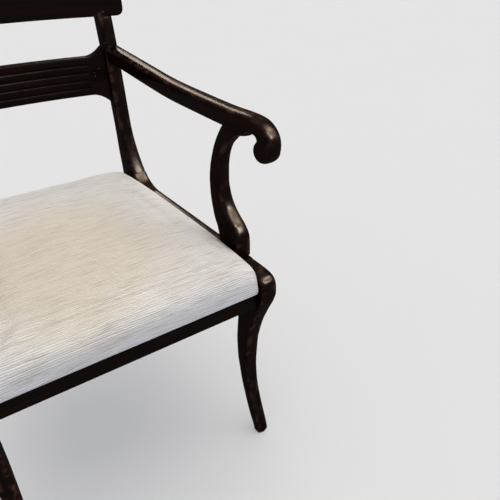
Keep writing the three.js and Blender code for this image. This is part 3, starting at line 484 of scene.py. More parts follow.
def board(
    outline: np.ndarray,
    half: Run | float,
    edge: Edge,
    spacing: float,
    grain: Grain = Grain.ALONG_B,
    step: float = 0.0025,
    soft: float = 0.0012,
    wall_steps: int = 3,
    handled: float = 0.0,
) -> Shell:
    """A board of a given outline, with both faces level and its edges rounded.

    Args:
        outline: the corners in order, anticlockwise, in the board's a and b.
        half: half of its thickness, or a function that gives it for rows of a and b.
        edge: the rounding of its edges.
        spacing: the spacing of the corners inside the outline.
        grain: the way that the grain runs.
        step: the spacing of the corners along the outline.
        soft: how far each corner of the outline is eased.
        wall_steps: how many rows of faces the edge has between its roundings.
        handled: how strongly edges that face up are browned, partly as rubbing and partly as a painted warm sheen.

    Returns:
        The closed mesh, with t from minus half to half.
    """
    ring = softened(outline, soft, step)
    count = len(ring)
    ahead = np.roll(ring, -1, axis=0) - np.roll(ring, 1, axis=0)
    outwards = np.stack([ahead[:, 1], -ahead[:, 0]], axis=1)
    outwards /= np.linalg.norm(outwards, axis=1, keepdims=True)
    flat = [ring]
    for angle in np.linspace(0, math.pi / 2, edge.steps + 1)[1:]:
        depth = edge.over * (1 - math.cos(angle))
        drawn_in = ring - outwards * depth
        flat.append(drawn_in[gaps_to(drawn_in, ring) > depth * 0.985])
    grid = grid_in(ring, spacing)
    flat.append(grid[gaps_to(grid, ring) > edge.over + spacing / 2])
    corners = [Vector(place) for place in np.vstack(flat)]
    places, _, triangles, origins, _, _ = delaunay_2d_cdt(corners, [], [list(range(count))], 1, 1e-7)
    places = np.array([tuple(place) for place in places])
    gap = np.minimum(gaps_to(places, ring), edge.over)
    level = 1 - gap / edge.over
    drop = edge.down * (1 - np.sqrt(np.maximum(0, 1 - level**2)))
    thick = half(places) if callable(half) else np.full(len(places), half)
    # Rubbing at the middle of each rounded arris
    worn_and_sheen = 2 * level * np.sqrt(np.maximum(0, 1 - level**2))
    on_ring = np.zeros(count, int)
    for i, origin in enumerate(origins):
        for source in origin:
            if source < count:
                on_ring[source] = i
    faces = []
    for a, b, c in triangles:
        (ax, ay), (bx, by), (cx, cy) = places[a], places[b], places[c]
        anticlockwise = (bx - ax) * (cy - ay) > (by - ay) * (cx - ax)
        faces.append((a, b, c) if anticlockwise else (a, c, b))
    total = len(places)
    under = [(c + total, b + total, a + total) for a, b, c in faces]
    ring_places, ring_thick = places[on_ring], (thick - edge.down)[on_ring]
    rows = [on_ring]
    walls = []
    for row in range(1, wall_steps):
        share = 1 - 2 * row / wall_steps
        rows.append(2 * total + (row - 1) * count + np.arange(count))
        walls.append(np.column_stack([ring_places, ring_thick * share]))
    rows.append(on_ring + total)
    sides = []
    for upper, lower in zip(rows, rows[1:]):
        for i in range(count):
            j = (i + 1) % count
            sides.append((int(upper[i]), int(lower[i]), int(lower[j]), int(upper[j])))
    heights = thick - drop
    points = np.vstack(
        [np.column_stack([places, heights]), np.column_stack([places, -heights]), *walls]
    )
    # Edges that face up get a browner mark: partly rubbing from hands, partly a painted warm sheen on tops
    up_facing_rub_and_sheen = handled * np.maximum(0, outwards[:, 1])
    nearest = np.linalg.norm(places[:, None] - ring[None], axis=2).argmin(1)
    worn_and_sheen = np.maximum(worn_and_sheen, up_facing_rub_and_sheen[nearest] * level)
    wear_and_sheen = np.concatenate([worn_and_sheen, worn_and_sheen, np.tile(up_facing_rub_and_sheen, wall_steps - 1)])
    return Shell(points, faces + under + sides, points[:, list(grain.value)], wear_and_sheen)


def lathed(profile: Sequence[tuple[float, float]], sides: int) -> Shell:
    """A turned solid about z.

    Args:
        profile: pairs of radius and height, from the bottom of the axis to its top.
        sides: how many sides it has.

    Returns:
        The closed mesh, with a single corner at each end of the axis.
    """
    turns = np.arange(sides) * 2 * math.pi / sides
    rings = [
        np.column_stack([r * np.cos(turns), r * np.sin(turns), np.full(sides, z)])
        for r, z in profile[1:-1]
    ]
    points = np.vstack([[(0, 0, profile[0][1])], *rings, [(0, 0, profile[-1][1])]])
    last = len(points) - 1
    faces: list[tuple[int, ...]] = []
    for i in range(sides):
        j = (i + 1) % sides
        faces.append((0, 1 + j, 1 + i))
        faces.append((last, last - sides + i, last - sides + j))
        for ring in range(len(rings) - 1):
            low, high = 1 + ring * sides, 1 + (ring + 1) * sides
            faces.append((low + i, low + j, high + j, high + i))
    return Shell(points, faces, points[:, [2, 0, 1]], np.zeros(len(points)))


def as_object(name: str, shell: Shell, material: bpy.types.Material) -> bpy.types.Object:
    """Makes a finished mesh object, with its place in its mesh.

    Args:
        name: the piece's name.
        shell: its mesh, in the chair.
        material: its finish.

    Returns:
        The object, linked to the scene and shaded smooth.
    """
    mesh = bpy.data.meshes.new(name)
    mesh.from_pydata(shell.points.tolist(), [], shell.faces)
    mesh.attributes.new("grain", "FLOAT_VECTOR", "POINT").data.foreach_set(
        "vector", shell.grain.astype(np.float32).ravel()
    )
    mesh.attributes.new("wear_and_sheen", "FLOAT", "POINT").data.foreach_set(
        "value", shell.wear_and_sheen.astype(np.float32)
    )
    mesh.materials.append(material)
    mesh.shade_smooth()
    mesh.validate()
    made = bpy.data.objects.new(name, mesh)
    bpy.context.scene.collection.objects.link(made)
    return made


def finish_piece(piece: bpy.types.Object, body: str, slot: str, *nodes: str) -> bpy.types.Object:
    """Lets a piece ride on its body and stand for its solids.

    Args:
        piece: the finished object.
        body: the body that it moves with.
        slot: the name of the piece's finish; not used.
        nodes: the solids that it replaces.

    Returns:
        The same object.
    """
    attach(piece, body)
    if nodes:
        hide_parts(*nodes)
    LOG.info("%s: %d faces on %s", piece.name, len(piece.data.polygons), body)
    return piece


# Finishes
class Board:
    """A material's node tree, with short calls that add and join nodes."""

    def __init__(self, name: str) -> None:
        """Starts an empty material.

        Args:
            name: the material's name.
        """
        self.material = bpy.data.materials.new(name)
        self.material.use_nodes = True
        self.tree = self.material.node_tree
        self.tree.nodes.clear()
        self.shader = self.add("ShaderNodeBsdfPrincipled")
        output = self.add("ShaderNodeOutputMaterial")
        self.join(self.shader.outputs["BSDF"], output.inputs["Surface"])

    def add(self, kind: str, **settings: object) -> bpy.types.Node:
        """Adds a node and sets its properties."""
        node = self.tree.nodes.new(kind)
        for name, value in settings.items():
            setattr(node, name, value)
        return node

    def join(self, source: bpy.types.NodeSocket, target: bpy.types.NodeSocket) -> None:
        """Joins an output to an input."""
        self.tree.links.new(source, target)

    def feed(self, target: bpy.types.NodeSocket, value: object) -> None:
        """Joins a socket to an input, or sets the input to a plain value."""
        if isinstance(value, bpy.types.NodeSocket):
            self.join(value, target)
        else:
            target.default_value = value

    def attribute(self, name: str, output: str) -> bpy.types.NodeSocket:
        """What the mesh's corners carry under a name."""
        return self.add("ShaderNodeAttribute", attribute_name=name).outputs[output]

    def scaled(self, vector: bpy.types.NodeSocket, scale: Sequence[float]) -> bpy.types.NodeSocket:
        """A vector with each part scaled."""
        node = self.add("ShaderNodeVectorMath", operation="MULTIPLY")
        self.join(vector, node.inputs[0])
        node.inputs[1].default_value = scale
        return node.outputs[0]

    def noise(
        self, vector: bpy.types.NodeSocket, scale: float, detail: float = 3, rough: float = 0.5
    ) -> bpy.types.NodeSocket:
        """Smooth noise from 0 to 1.

        Args:
            vector: where it is read.
            scale: how fine it is.
            detail: how many finer layers it has.
            rough: how strong the finer layers are.

        Returns:
            The noise as a number.
        """
        node = self.add("ShaderNodeTexNoise")
        self.join(vector, node.inputs["Vector"])
        node.inputs["Scale"].default_value = scale
        node.inputs["Detail"].default_value = detail
        node.inputs["Roughness"].default_value = rough
        return node.outputs["Fac"]

    def math(self, kind: str, first: object, second: object = 0.0) -> bpy.types.NodeSocket:
        """A sum, product or other function of two numbers."""
        node = self.add("ShaderNodeMath", operation=kind)
        self.feed(node.inputs[0], first)
        self.feed(node.inputs[1], second)
        return node.outputs[0]

    def ranged(
        self, value: bpy.types.NodeSocket, source: tuple[float, float], target: tuple[float, float]
    ) -> bpy.types.NodeSocket:
        """A number carried from one range to another and held inside it.

        Args:
            value: the number.
            source: the range that it comes from.
            target: the range that it goes to.

        Returns:
            The new number.
        """
        node = self.add("ShaderNodeMapRange", interpolation_type="SMOOTHSTEP")
        self.join(value, node.inputs["Value"])
        node.inputs["From Min"].default_value, node.inputs["From Max"].default_value = source
        node.inputs["To Min"].default_value, node.inputs["To Max"].default_value = target
        return node.outputs["Result"]

    def mixed(self, share: object, first: object, second: object) -> bpy.types.NodeSocket:
        """A colour between two colours.

        Args:
            share: how much of the second it has.
            first: a colour or a socket.
            second: a colour or a socket.

        Returns:
            The mixed colour.
        """
        node = self.add("ShaderNodeMix", data_type="RGBA")
        self.feed(node.inputs[0], share)
        self.feed(node.inputs[6], (*first, 1) if isinstance(first, tuple) else first)
        self.feed(node.inputs[7], (*second, 1) if isinstance(second, tuple) else second)
        return node.outputs[2]

    def bump(self, layers: Sequence[tuple[bpy.types.NodeSocket, float]]) -> None:
        """Presses height patterns into the surface.

        Args:
            layers: each height pattern and its depth in metres.
        """
        normal = None
        for height, depth in layers:
            node = self.add("ShaderNodeBump")
            node.inputs["Strength"].default_value = 1
            node.inputs["Distance"].default_value = depth
            self.join(height, node.inputs["Height"])
            if normal is not None:
                self.join(normal, node.inputs["Normal"])
            normal = node.outputs["Normal"]
        self.join(normal, self.shader.inputs["Normal"])

    def set(self, **values: float) -> None:
        """Sets plain values on the shader's own sockets."""
        for name, value in values.items():
            self.shader.inputs[name.replace("_", " ").title().replace("Ior", "IOR")].default_value = value


@dataclass(frozen=True)
class Mahogany:
    """Old mahogany, nearly black under its polish; browner on rubbed arrises and, as a painted warm sheen, on tops and
    edges that face up.
    """

    dark: tuple[float, float, float] = (0.0028, 0.0009, 0.0005)
    red: tuple[float, float, float] = (0.0115, 0.0028, 0.0014)
    # Brown of rubbed arrises, made strong enough to also paint the warm sheen on tops that face up
    worn_and_sheen: tuple[float, float, float] = (0.085, 0.038, 0.023)
    ripple: float = 0.00012
    pore: float = 0.00003

    def material(self) -> bpy.types.Material:
        """Builds the finish."""
        b = Board("polished_mahogany")
        grain = b.attribute("grain", "Vector")
        figure = b.noise(b.scaled(grain, (5, 70, 70)), 1, 5, 0.6)
        cloud = b.noise(grain, 14, 2)
        pores = b.ranged(b.noise(b.scaled(grain, (150, 1900, 1900)), 1, 1), (0.6, 0.72), (0, 1))
        streaks = b.math("MULTIPLY", b.ranged(figure, (0.35, 0.7), (0, 1)), b.ranged(cloud, (0.3, 0.7), (0.3, 1)))
        wood = b.mixed(streaks, self.dark, self.red)
        # Browner where the mesh's mark is set, broken up by noise: rubbing on arrises plus a painted warm sheen on
        # edges that face up
        patchy_rub_and_sheen = b.math("MULTIPLY", b.attribute("wear_and_sheen", "Fac"), b.ranged(b.noise(grain, 55, 3), (0.45, 0.75), (0, 0.75)))
        coloured = b.mixed(patchy_rub_and_sheen, wood, self.worn_and_sheen)
        b.join(b.mixed(b.math("MULTIPLY", pores, 0.6), coloured, self.dark), b.shader.inputs["Base Color"])
        smear = b.noise(b.scaled(grain, (9, 26, 26)), 1, 4, 0.65)
        b.join(b.ranged(smear, (0.3, 0.75), (0.17, 0.32)), b.shader.inputs["Coat Roughness"])
        b.bump([(b.noise(grain, 42, 2), self.ripple), (pores, -self.pore)])
        b.set(specular_ior_level=0.0, roughness=0.4, coat_weight=0.034, coat_ior=2.0)
        return b.material


@dataclass(frozen=True)
class Beech:
    """Plain planed beech with its short dark flecks, a little dusty."""

    pale: tuple[float, float, float] = (0.53, 0.36, 0.2)
    deep: tuple[float, float, float] = (0.34, 0.2, 0.1)
    fleck: tuple[float, float, float] = (0.2, 0.105, 0.05)
    tooth: float = 0.00008

    def material(self) -> bpy.types.Material:
        """Builds the finish."""
        b = Board("plain_beech")
        grain = b.attribute("grain", "Vector")
        rings = b.noise(b.scaled(grain, (6, 110, 110)), 1, 4, 0.6)
        flecks = b.ranged(b.noise(b.scaled(grain, (230, 1100, 1100)), 1, 1), (0.62, 0.7), (0, 0.8))
        wood = b.mixed(b.ranged(rings, (0.3, 0.75), (0, 1)), self.pale, self.deep)
        b.join(b.mixed(flecks, wood, self.fleck), b.shader.inputs["Base Color"])
        b.join(b.ranged(rings, (0.3, 0.7), (0.58, 0.74)), b.shader.inputs["Roughness"])
        b.bump([(rings, self.tooth), (flecks, -self.tooth)])
        return b.material


@dataclass(frozen=True)
class Linen:
    """Cream linen with slubbed ribs that run across the seat."""

    cream: tuple[float, float, float] = (0.88, 0.78, 0.62)
    ivory: tuple[float, float, float] = (0.95, 0.92, 0.88)
    straw: tuple[float, float, float] = (0.62, 0.54, 0.42)
    shade: tuple[float, float, float] = (0.46, 0.415, 0.36)
    # Centre of a painted pool of warm light: the cloth is creamier near it and whiter away from it
    warm_light_centre: tuple[float, float, float] = (-0.05, -0.11, 0)
    rib_pitch: float = 0.0034
    thread_pitch: float = 0.0017
    rib_depth: float = 0.0007
    thread_depth: float = 0.0002

    def material(self) -> bpy.types.Material:
        """Builds the finish."""
        b = Board("slub_linen")
        weave = b.attribute("weave", "Vector")
        parts = b.add("ShaderNodeSeparateXYZ")
        b.join(weave, parts.inputs[0])
        wander = b.math("MULTIPLY", b.noise(b.scaled(weave, (18, 90, 1)), 1, 3), self.rib_pitch * 1.6)
        across = b.math("ADD", parts.outputs["Y"], wander)
        rib = self.wave(b, across, self.rib_pitch)
        thread = self.wave(b, parts.outputs["X"], self.thread_pitch)
        slub = b.noise(b.scaled(weave, (16, 330, 1)), 1, 4, 0.7)
        long_slub = b.noise(b.scaled(weave, (5, 120, 1)), 1, 3, 0.6)
        # Random patchy tone plus a painted warm light: creamier near one point of the seat, whiter away from it
        away = b.add("ShaderNodeVectorMath", operation="DISTANCE")
        b.join(weave, away.inputs[0])
        away.inputs[1].default_value = self.warm_light_centre
        patches_and_warm_light = b.math("ADD", b.math("MULTIPLY", b.noise(weave, 7, 3, 0.55), 0.16), away.outputs["Value"])
        ground = b.mixed(b.ranged(patches_and_warm_light, (0.17, 0.32), (0, 1)), self.cream, self.ivory)
        strawed = b.mixed(b.ranged(slub, (0.52, 0.66), (0, 0.9)), ground, self.straw)
        streaked = b.mixed(b.ranged(long_slub, (0.55, 0.75), (0, 0.6)), strawed, self.straw)
        beads = b.math("MULTIPLY", b.math("SUBTRACT", 1.0, thread), b.ranged(slub, (0.3, 0.7), (0.14, 0.36)))
        hollow = b.math("ADD", b.math("MULTIPLY", b.math("SUBTRACT", 1.0, rib), 0.44), beads)
        b.join(b.mixed(hollow, streaked, self.shade), b.shader.inputs["Base Color"])
        b.join(b.ranged(slub, (0.3, 0.7), (0.82, 0.95)), b.shader.inputs["Roughness"])
        thick = b.math("MULTIPLY", rib, b.ranged(slub, (0.3, 0.8), (0.7, 1.5)))
        b.bump([(thick, self.rib_depth), (thread, self.thread_depth)])
        b.set(sheen_weight=0.18, sheen_roughness=0.5, specular_ior_level=0.25)
        return b.material

    @staticmethod
    def wave(b: Board, at: bpy.types.NodeSocket, pitch: float) -> bpy.types.NodeSocket:
        """Even threads from 0 to 1 along a distance."""
        turn = b.math("SINE", b.math("MULTIPLY", at, 2 * math.pi / pitch))
        return b.math("ADD", b.math("MULTIPLY", turn, 0.5), 0.5)


@dataclass(frozen=True)
class PlainWeave:
    """A plain over and under cloth, such as jute webbing, hessian or black dust cloth."""

    name: str
    thread: tuple[float, float, float]
    hollow: tuple[float, float, float]
    pitch: float
    depth: float

    def material(self) -> bpy.types.Material:
        """Builds the finish."""
        b = Board(self.name)
        place = b.add("ShaderNodeTexCoord").outputs["Object"]
        parts = b.add("ShaderNodeSeparateXYZ")
        b.join(place, parts.inputs[0])
        warp = Linen.wave(b, parts.outputs["X"], self.pitch)
        weft = Linen.wave(b, parts.outputs["Y"], self.pitch)
        cross = b.math("ABSOLUTE", b.math("SUBTRACT", warp, weft))
        uneven = b.noise(place, 120, 4, 0.7)
        cover = b.math("MULTIPLY", cross, b.ranged(uneven, (0.25, 0.75), (0.45, 1)))
        b.join(b.mixed(cover, self.hollow, self.thread), b.shader.inputs["Base Color"])
        b.join(b.ranged(uneven, (0.3, 0.7), (0.85, 0.97)), b.shader.inputs["Roughness"])
        b.bump([(cover, self.depth)])
        b.set(specular_ior_level=0.2)
        return b.material


@dataclass(frozen=True)
class Steel:
    """Old wood screws and tacks: dull steel, browned in places."""

    bright: tuple[float, float, float] = (0.34, 0.32, 0.29)
    brown: tuple[float, float, float] = (0.09, 0.06, 0.04)

    def material(self) -> bpy.types.Material:
        """Builds the finish."""
        b = Board("dull_steel")
        place = b.add("ShaderNodeTexCoord").outputs["Object"]
        rust = b.ranged(b.noise(place, 260, 4, 0.6), (0.45, 0.7), (0, 1))
        b.join(b.mixed(rust, self.bright, self.brown), b.shader.inputs["Base Color"])
        b.join(b.ranged(rust, (0, 1), (0.32, 0.7)), b.shader.inputs["Roughness"])
        b.join(b.math("SUBTRACT", 1.0, b.math("MULTIPLY", rust, 0.6)), b.shader.inputs["Metallic"])
        b.bump([(rust, 0.00004)])
        return b.material


@dataclass
class Finishes:
    """Every finish of the chair, built once."""

    mahogany: bpy.types.Material = field(default_factory=lambda: Mahogany().material())
    linen: bpy.types.Material = field(default_factory=lambda: Linen().material())
    steel: bpy.types.Material = field(default_factory=lambda: Steel().material())
    planed: bpy.types.Material = field(default_factory=lambda: Beech().material())
    jute: bpy.types.Material = field(default_factory=lambda: PlainWeave(
        "jute_weave", (0.34, 0.24, 0.12), (0.08, 0.05, 0.025), 0.003, 0.0004).material())
    cambric: bpy.types.Material = field(default_factory=lambda: PlainWeave(
        "black_dust_cloth", (0.022, 0.022, 0.024), (0.004, 0.004, 0.005), 0.0011, 0.0001).material())


# Growing repeated shapes with geometry nodes
class Tree:
    """A geometry node tree with named inputs and short calls that add and join nodes."""

    def __init__(self, name: str, **inputs: float | int) -> None:
        """Starts a tree.

        Args:
            name: the tree's name.
            inputs: the tree's sizes and counts, with their first values.
        """
        self.group = bpy.data.node_groups.new(name, "GeometryNodeTree")
        face = self.group.interface
        face.new_socket("Geometry", in_out="INPUT", socket_type="NodeSocketGeometry")
        self.keys: dict[str, str] = {}
        for word, value in inputs.items():
            kind = "NodeSocketInt" if isinstance(value, int) else "NodeSocketFloat"
            socket = face.new_socket(word, in_out="INPUT", socket_type=kind)
            socket.default_value = value
            self.keys[word] = socket.identifier
        face.new_socket("Geometry", in_out="OUTPUT", socket_type="NodeSocketGeometry")
        self.start = self.add("NodeGroupInput")

    def add(self, kind: str, links: dict[str | int, object] | None = None, **settings: object) -> bpy.types.Node:
        """Adds a node.

        Args:
            kind: the node's type.
            links: what each input gets: a socket to join, or a plain value.
            settings: the node's properties.

        Returns:
            The node.
        """
        node = self.group.nodes.new(kind)
        for name, value in settings.items():
            setattr(node, name, value)
        for key, value in (links or {}).items():
            if isinstance(value, bpy.types.NodeSocket):
                self.group.links.new(value, node.inputs[key])
            else:
                node.inputs[key].default_value = value
        return node

    def size(self, word: str) -> bpy.types.NodeSocket:
        """The tree's own input of a name."""
        return self.start.outputs[word]

    def end(self, geometry: bpy.types.NodeSocket, material: bpy.types.Material) -> None:
        """Makes the shapes real, gives them their finish and ends the tree.

        Args:
            geometry: what the tree has made.
            material: its finish.
        """
        real = self.add("GeometryNodeRealizeInstances", {0: geometry})
        smooth = self.add("GeometryNodeSetShadeSmooth", {0: real.outputs[0]})
        dressed = self.add("GeometryNodeSetMaterial", {0: smooth.outputs[0], "Material": material})
        self.add("NodeGroupOutput", {0: dressed.outputs[0]})

    def grow(self, name: str, seed: bpy.types.Mesh | None = None, **values: float | int) -> bpy.types.Object:
        """Runs the tree and keeps what it makes as a plain mesh.

        Args:
            name: the new object's name.
            seed: the mesh that the tree starts from, if it needs one.
            values: the tree's inputs, by their names.

        Returns:
            The object, with no modifier left on it.
        """
        carrier = bpy.data.objects.new(name, seed or bpy.data.meshes.new(name))
        bpy.context.scene.collection.objects.link(carrier)
        modifier = carrier.modifiers.new("grow", "NODES")
        modifier.node_group = self.group
        for word, value in values.items():
            modifier[self.keys[word]] = value
        bpy.context.view_layer.update()
        made = carrier.evaluated_get(bpy.context.evaluated_depsgraph_get())
        mesh = bpy.data.meshes.new_from_object(made)
        carrier.modifiers.remove(modifier)
        carrier.data = mesh
        return carrier


def place_mesh(piece: bpy.types.Object, place: Matrix) -> None:
    """Moves a piece by its mesh, so that its object stays at the origin."""
    piece.data.transform(place)
    if place.is_negative:
        piece.data.flip_normals()


def carry_grain(piece: bpy.types.Object) -> None:
    """Gives a mesh the grain that its finish reads, with the grain along its length, and an empty mark for rubbing and
    painted sheen.

    Args:
        piece: an object with a plain mesh.
    """
    mesh = piece.data
    points = np.empty(len(mesh.vertices) * 3, np.float64)
    mesh.vertices.foreach_get("co", points)
    centred = points.reshape(-1, 3) - points.reshape(-1, 3).mean(0)
    ways = np.linalg.svd(centred, full_matrices=False)[2]
    grain = (points.reshape(-1, 3) @ ways.T).astype(np.float32)
    mesh.attributes.new("grain", "FLOAT_VECTOR", "POINT").data.foreach_set("vector", grain.ravel())
    mesh.attributes.new("wear_and_sheen", "FLOAT", "POINT")


# The frame of the chair
@dataclass(frozen=True)
class SideFrames:
    """Legs, posts, rails, arms and arm supports of both sides."""

    finishes: Finishes
    plan: Plan = PLAN
    cove_length: float = 0.03
    cove_drop: float = 0.014
    sweep_length: float = 0.058
    sweep_rise: float = 0.0245
    sweep_pull_share: float = 0.36
    housed: float = 0.006
    arm_overhang: float = 0.0721
    arm_underside: float = 0.682
    arm_rise: float = 0.019
    arm_thickness: float = 0.0325
    arm_width: float = 0.03
    scroll_radius: float = 0.0193
    scroll_setback: float = 0.02
    scroll_drop: float = 0.012
    scroll_notch: float = math.radians(58)
    support_setback: float = 0.075
    support_foot: float = 0.052
    support_foot_width: float = 0.033
    support_width: float = 0.027
    leg_edge: Edge = Edge(0.0045, 0.0122, 7)
    rail_edge: Edge = Edge(0.0028, 0.011, 6)
    arm_edge: Edge = Edge(0.0055, 0.014, 7)
    # How much edges that face up are browned: rubbing plus a painted warm sheen
    handled: float = 0.8
    tongue: float = 0.012
    tongue_inset: float = 0.0015
    spacing: float = 0.0065

    def build(self) -> None:
        """Makes every piece of both side frames."""
        self.pair("front_leg", self.front_leg())
        self.pair("rear_post", self.rear_post())
        self.pair("side_rail", self.side_rail())
        self.pair("arm", self.arm())
        self.pair("arm_support", self.arm_support())

    def pair(self, node: str, shell: Shell) -> None:
        """Makes a piece for each side.

        Args:
            node: the first words of the solids' names.
            shell: the piece, flat in the side frame.
        """
        for side in Side:
            placed = shell.turned(Facing.SIDE).placed(self.plan.side_matrix(), side)
            piece = as_object(f"{side.word}_{node}", placed, self.finishes.mahogany)
            finish_piece(piece, "frame", "mahogany", f"{node}_{side.word}")

    def leg_half(self, places: np.ndarray) -> np.ndarray:
        """Half of a leg's width at places in the side frame."""
        plan = self.plan
        grown = smooth_run(LEG_WIDTH_SHARES)(places[:, 1] / plan.rail_top)
        return (plan.foot_width + grown * (plan.rail_width - plan.foot_width)) / 2

    def post_half(self, places: np.ndarray) -> np.ndarray:
        """Half of the rear post's width at places in the side frame."""
        plan = self.plan
        share = np.maximum(0, places[:, 1] - plan.rail_top) / plan.stile_rise
        stile = plan.stile_width + smooth_run(STILE_WIDTH_SHARES)(share) * (plan.rail_width - plan.stile_width)
        return np.where(places[:, 1] < plan.rail_top, self.leg_half(places), stile / 2)

    def front_leg(self) -> Shell:
        """The front leg with its knee, flat in the side frame."""
        plan = self.plan
        rising = np.sin(np.linspace(0, math.pi / 2, 120))
        front = smooth_run(LEG_FRONT_SHARES)(rising) * plan.knee_depth
        back = smooth_run(LEG_BACK_SHARES)(rising) * plan.knee_depth
        outline = np.vstack([
            np.column_stack([back, rising * plan.rail_top]),
            np.column_stack([front, rising * plan.rail_top])[::-1],
        ])
        return board(outline, self.leg_half, self.leg_edge, self.spacing, soft=0.0016, handled=self.handled)

    def rear_post(self) -> Shell:
        """The rear leg and its stile in one piece, flat in the side frame."""
        plan = self.plan
        rising = np.linspace(0, 1, 90)
        heel = plan.frame_depth + plan.heel_rake
        way = heel - plan.rear_foot_depth - plan.post_front
        low_front = plan.post_front + smooth_run(REAR_FRONT_SHARES)(rising) * way
        low_back = plan.frame_depth + smooth_run(REAR_BACK_SHARES)(rising) * plan.heel_rake
        heights = plan.rail_top + rising[1:] * plan.stile_rise
        tongue = np.array((0, self.tongue)) + plan.stile_top
        outline = np.vstack([
            np.column_stack([low_back, rising * plan.rail_top]),
            np.column_stack([plan.stile_back(heights), heights]),
            np.column_stack([plan.stile_back(tongue) - self.tongue_inset, tongue]),
            np.column_stack([plan.stile_front(tongue) + self.tongue_inset, tongue])[::-1],
            np.column_stack([plan.stile_front(heights), heights])[::-1],
            np.column_stack([low_front, rising * plan.rail_top])[::-1],
        ])
        return board(outline, self.post_half, self.leg_edge, self.spacing, soft=0.0025)

    def side_rail(self) -> Shell:
        """The side rail, housed in the leg and in the post, which it sweeps up to."""
        plan = self.plan
        start, end = plan.knee_depth, plan.post_front
        top, bottom = plan.rail_top, plan.rail_top - plan.side_rail_height
        turn = np.linspace(0, 1, 14)[:, None]

        def bend(p0: tuple, p1: tuple, p2: tuple) -> np.ndarray:
            """A quarter bend from one place to another, drawn to a third."""
            a, b, c = (np.array(p, float) for p in (p0, p1, p2))
            return (1 - turn) ** 2 * a + 2 * turn * (1 - turn) * b + turn**2 * c

        low = bottom - self.cove_drop
        outline = np.vstack([
            [(start - self.housed, low)],
            bend((start, low), (start, bottom), (start + self.cove_length, bottom)),
            bend((end - self.cove_length, bottom), (end, bottom), (end, low)),
            [(end + self.housed, low), (end + self.housed, top + self.sweep_rise + self.housed)],
            bend(
                (end, top + self.sweep_rise),
                (end - self.sweep_pull_share * self.sweep_length, top),
                (end - self.sweep_length, top),
            ),
            [(start - self.housed, top)],
        ])
        half = plan.rail_width / 2 - 0.00006
        grain = Grain.ALONG_A
        return board(outline, half, self.rail_edge, self.spacing, grain, soft=0.0008, handled=self.handled)

    def about_scroll(self, shares: np.ndarray) -> np.ndarray:
        """Places given in scroll radii from the scroll's centre."""
        front = self.support_setback - self.arm_overhang
        centre = np.array((front + self.scroll_setback, self.arm_underside - self.scroll_drop))
        return centre + np.atleast_2d(shares) * self.scroll_radius

    def arm(self) -> Shell:
        """The arm with its scroll, flat in the side frame."""
        plan = self.plan
        front = self.support_setback - self.arm_overhang
        length = plan.stile_front(self.arm_underside)[0] - front
        shares, rises = np.array(ARM_UNDERSIDE_SHARES).T
        under = np.column_stack([front + shares * length, self.arm_underside + rises * self.arm_rise])
        under[0, 0] = plan.stile_front(under[0, 1])[0]
        over = under + (0, self.arm_thickness)
        over[0, 0] = plan.stile_front(over[0, 1])[0]
        top = np.vstack([over, self.about_scroll(np.array(SCROLL_TOP_SHARES))])
        turns = np.linspace(math.pi, 2 * math.pi + self.scroll_notch, 40)[1:-1]
        roll = self.about_scroll(np.column_stack([np.cos(turns), np.sin(turns)]))
        notch = self.about_scroll(np.array((math.cos(self.scroll_notch), math.sin(self.scroll_notch))))[0]
        cove_end = self.support_setback + SUPPORT_FRONT_SHARES[-1][1] * self.support_foot
        cove = [
            notch,
            *((notch[0] + (cove_end - notch[0]) * along, notch[1] + up * self.scroll_radius)
              for along, up in SCROLL_COVE_SHARES),
            (cove_end, self.arm_underside),
        ]
        outline = np.vstack([spline(top, 160), roll, spline(cove, 30), spline(under[::-1], 90)])
        half, grain = self.arm_width / 2, Grain.ALONG_A
        return board(outline, half, self.arm_edge, self.spacing, grain, soft=0.0016, handled=self.handled)

    def support_half(self, places: np.ndarray) -> np.ndarray:
        """Half of the arm support's width at places in the side frame."""
        share = (places[:, 1] - self.plan.rail_top) / (self.arm_underside - self.plan.rail_top)
        grown = smooth_run(SUPPORT_WIDTH_SHARES)(share)
        return (self.support_width + grown * (self.support_foot_width - self.support_width)) / 2

    def arm_support(self) -> Shell:
        """The curved arm support, flat in the side frame."""
        low, high = self.plan.rail_top, self.arm_underside
        rising = np.linspace(0, 1, 110)
        heights = low + rising * (high - low)
        front = self.support_setback + smooth_run(SUPPORT_FRONT_SHARES)(rising) * self.support_foot
        back = self.support_setback + smooth_run(SUPPORT_BACK_SHARES)(rising) * self.support_foot
        housed = np.array([(back[-1] - self.housed, high + self.housed), (front[-1] - 0.002, high + self.housed)])
        outline = np.vstack([
            np.column_stack([back, heights]), housed, np.column_stack([front, heights])[::-1],
        ])
        return board(outline, self.support_half, self.leg_edge, self.spacing, soft=0.0012)


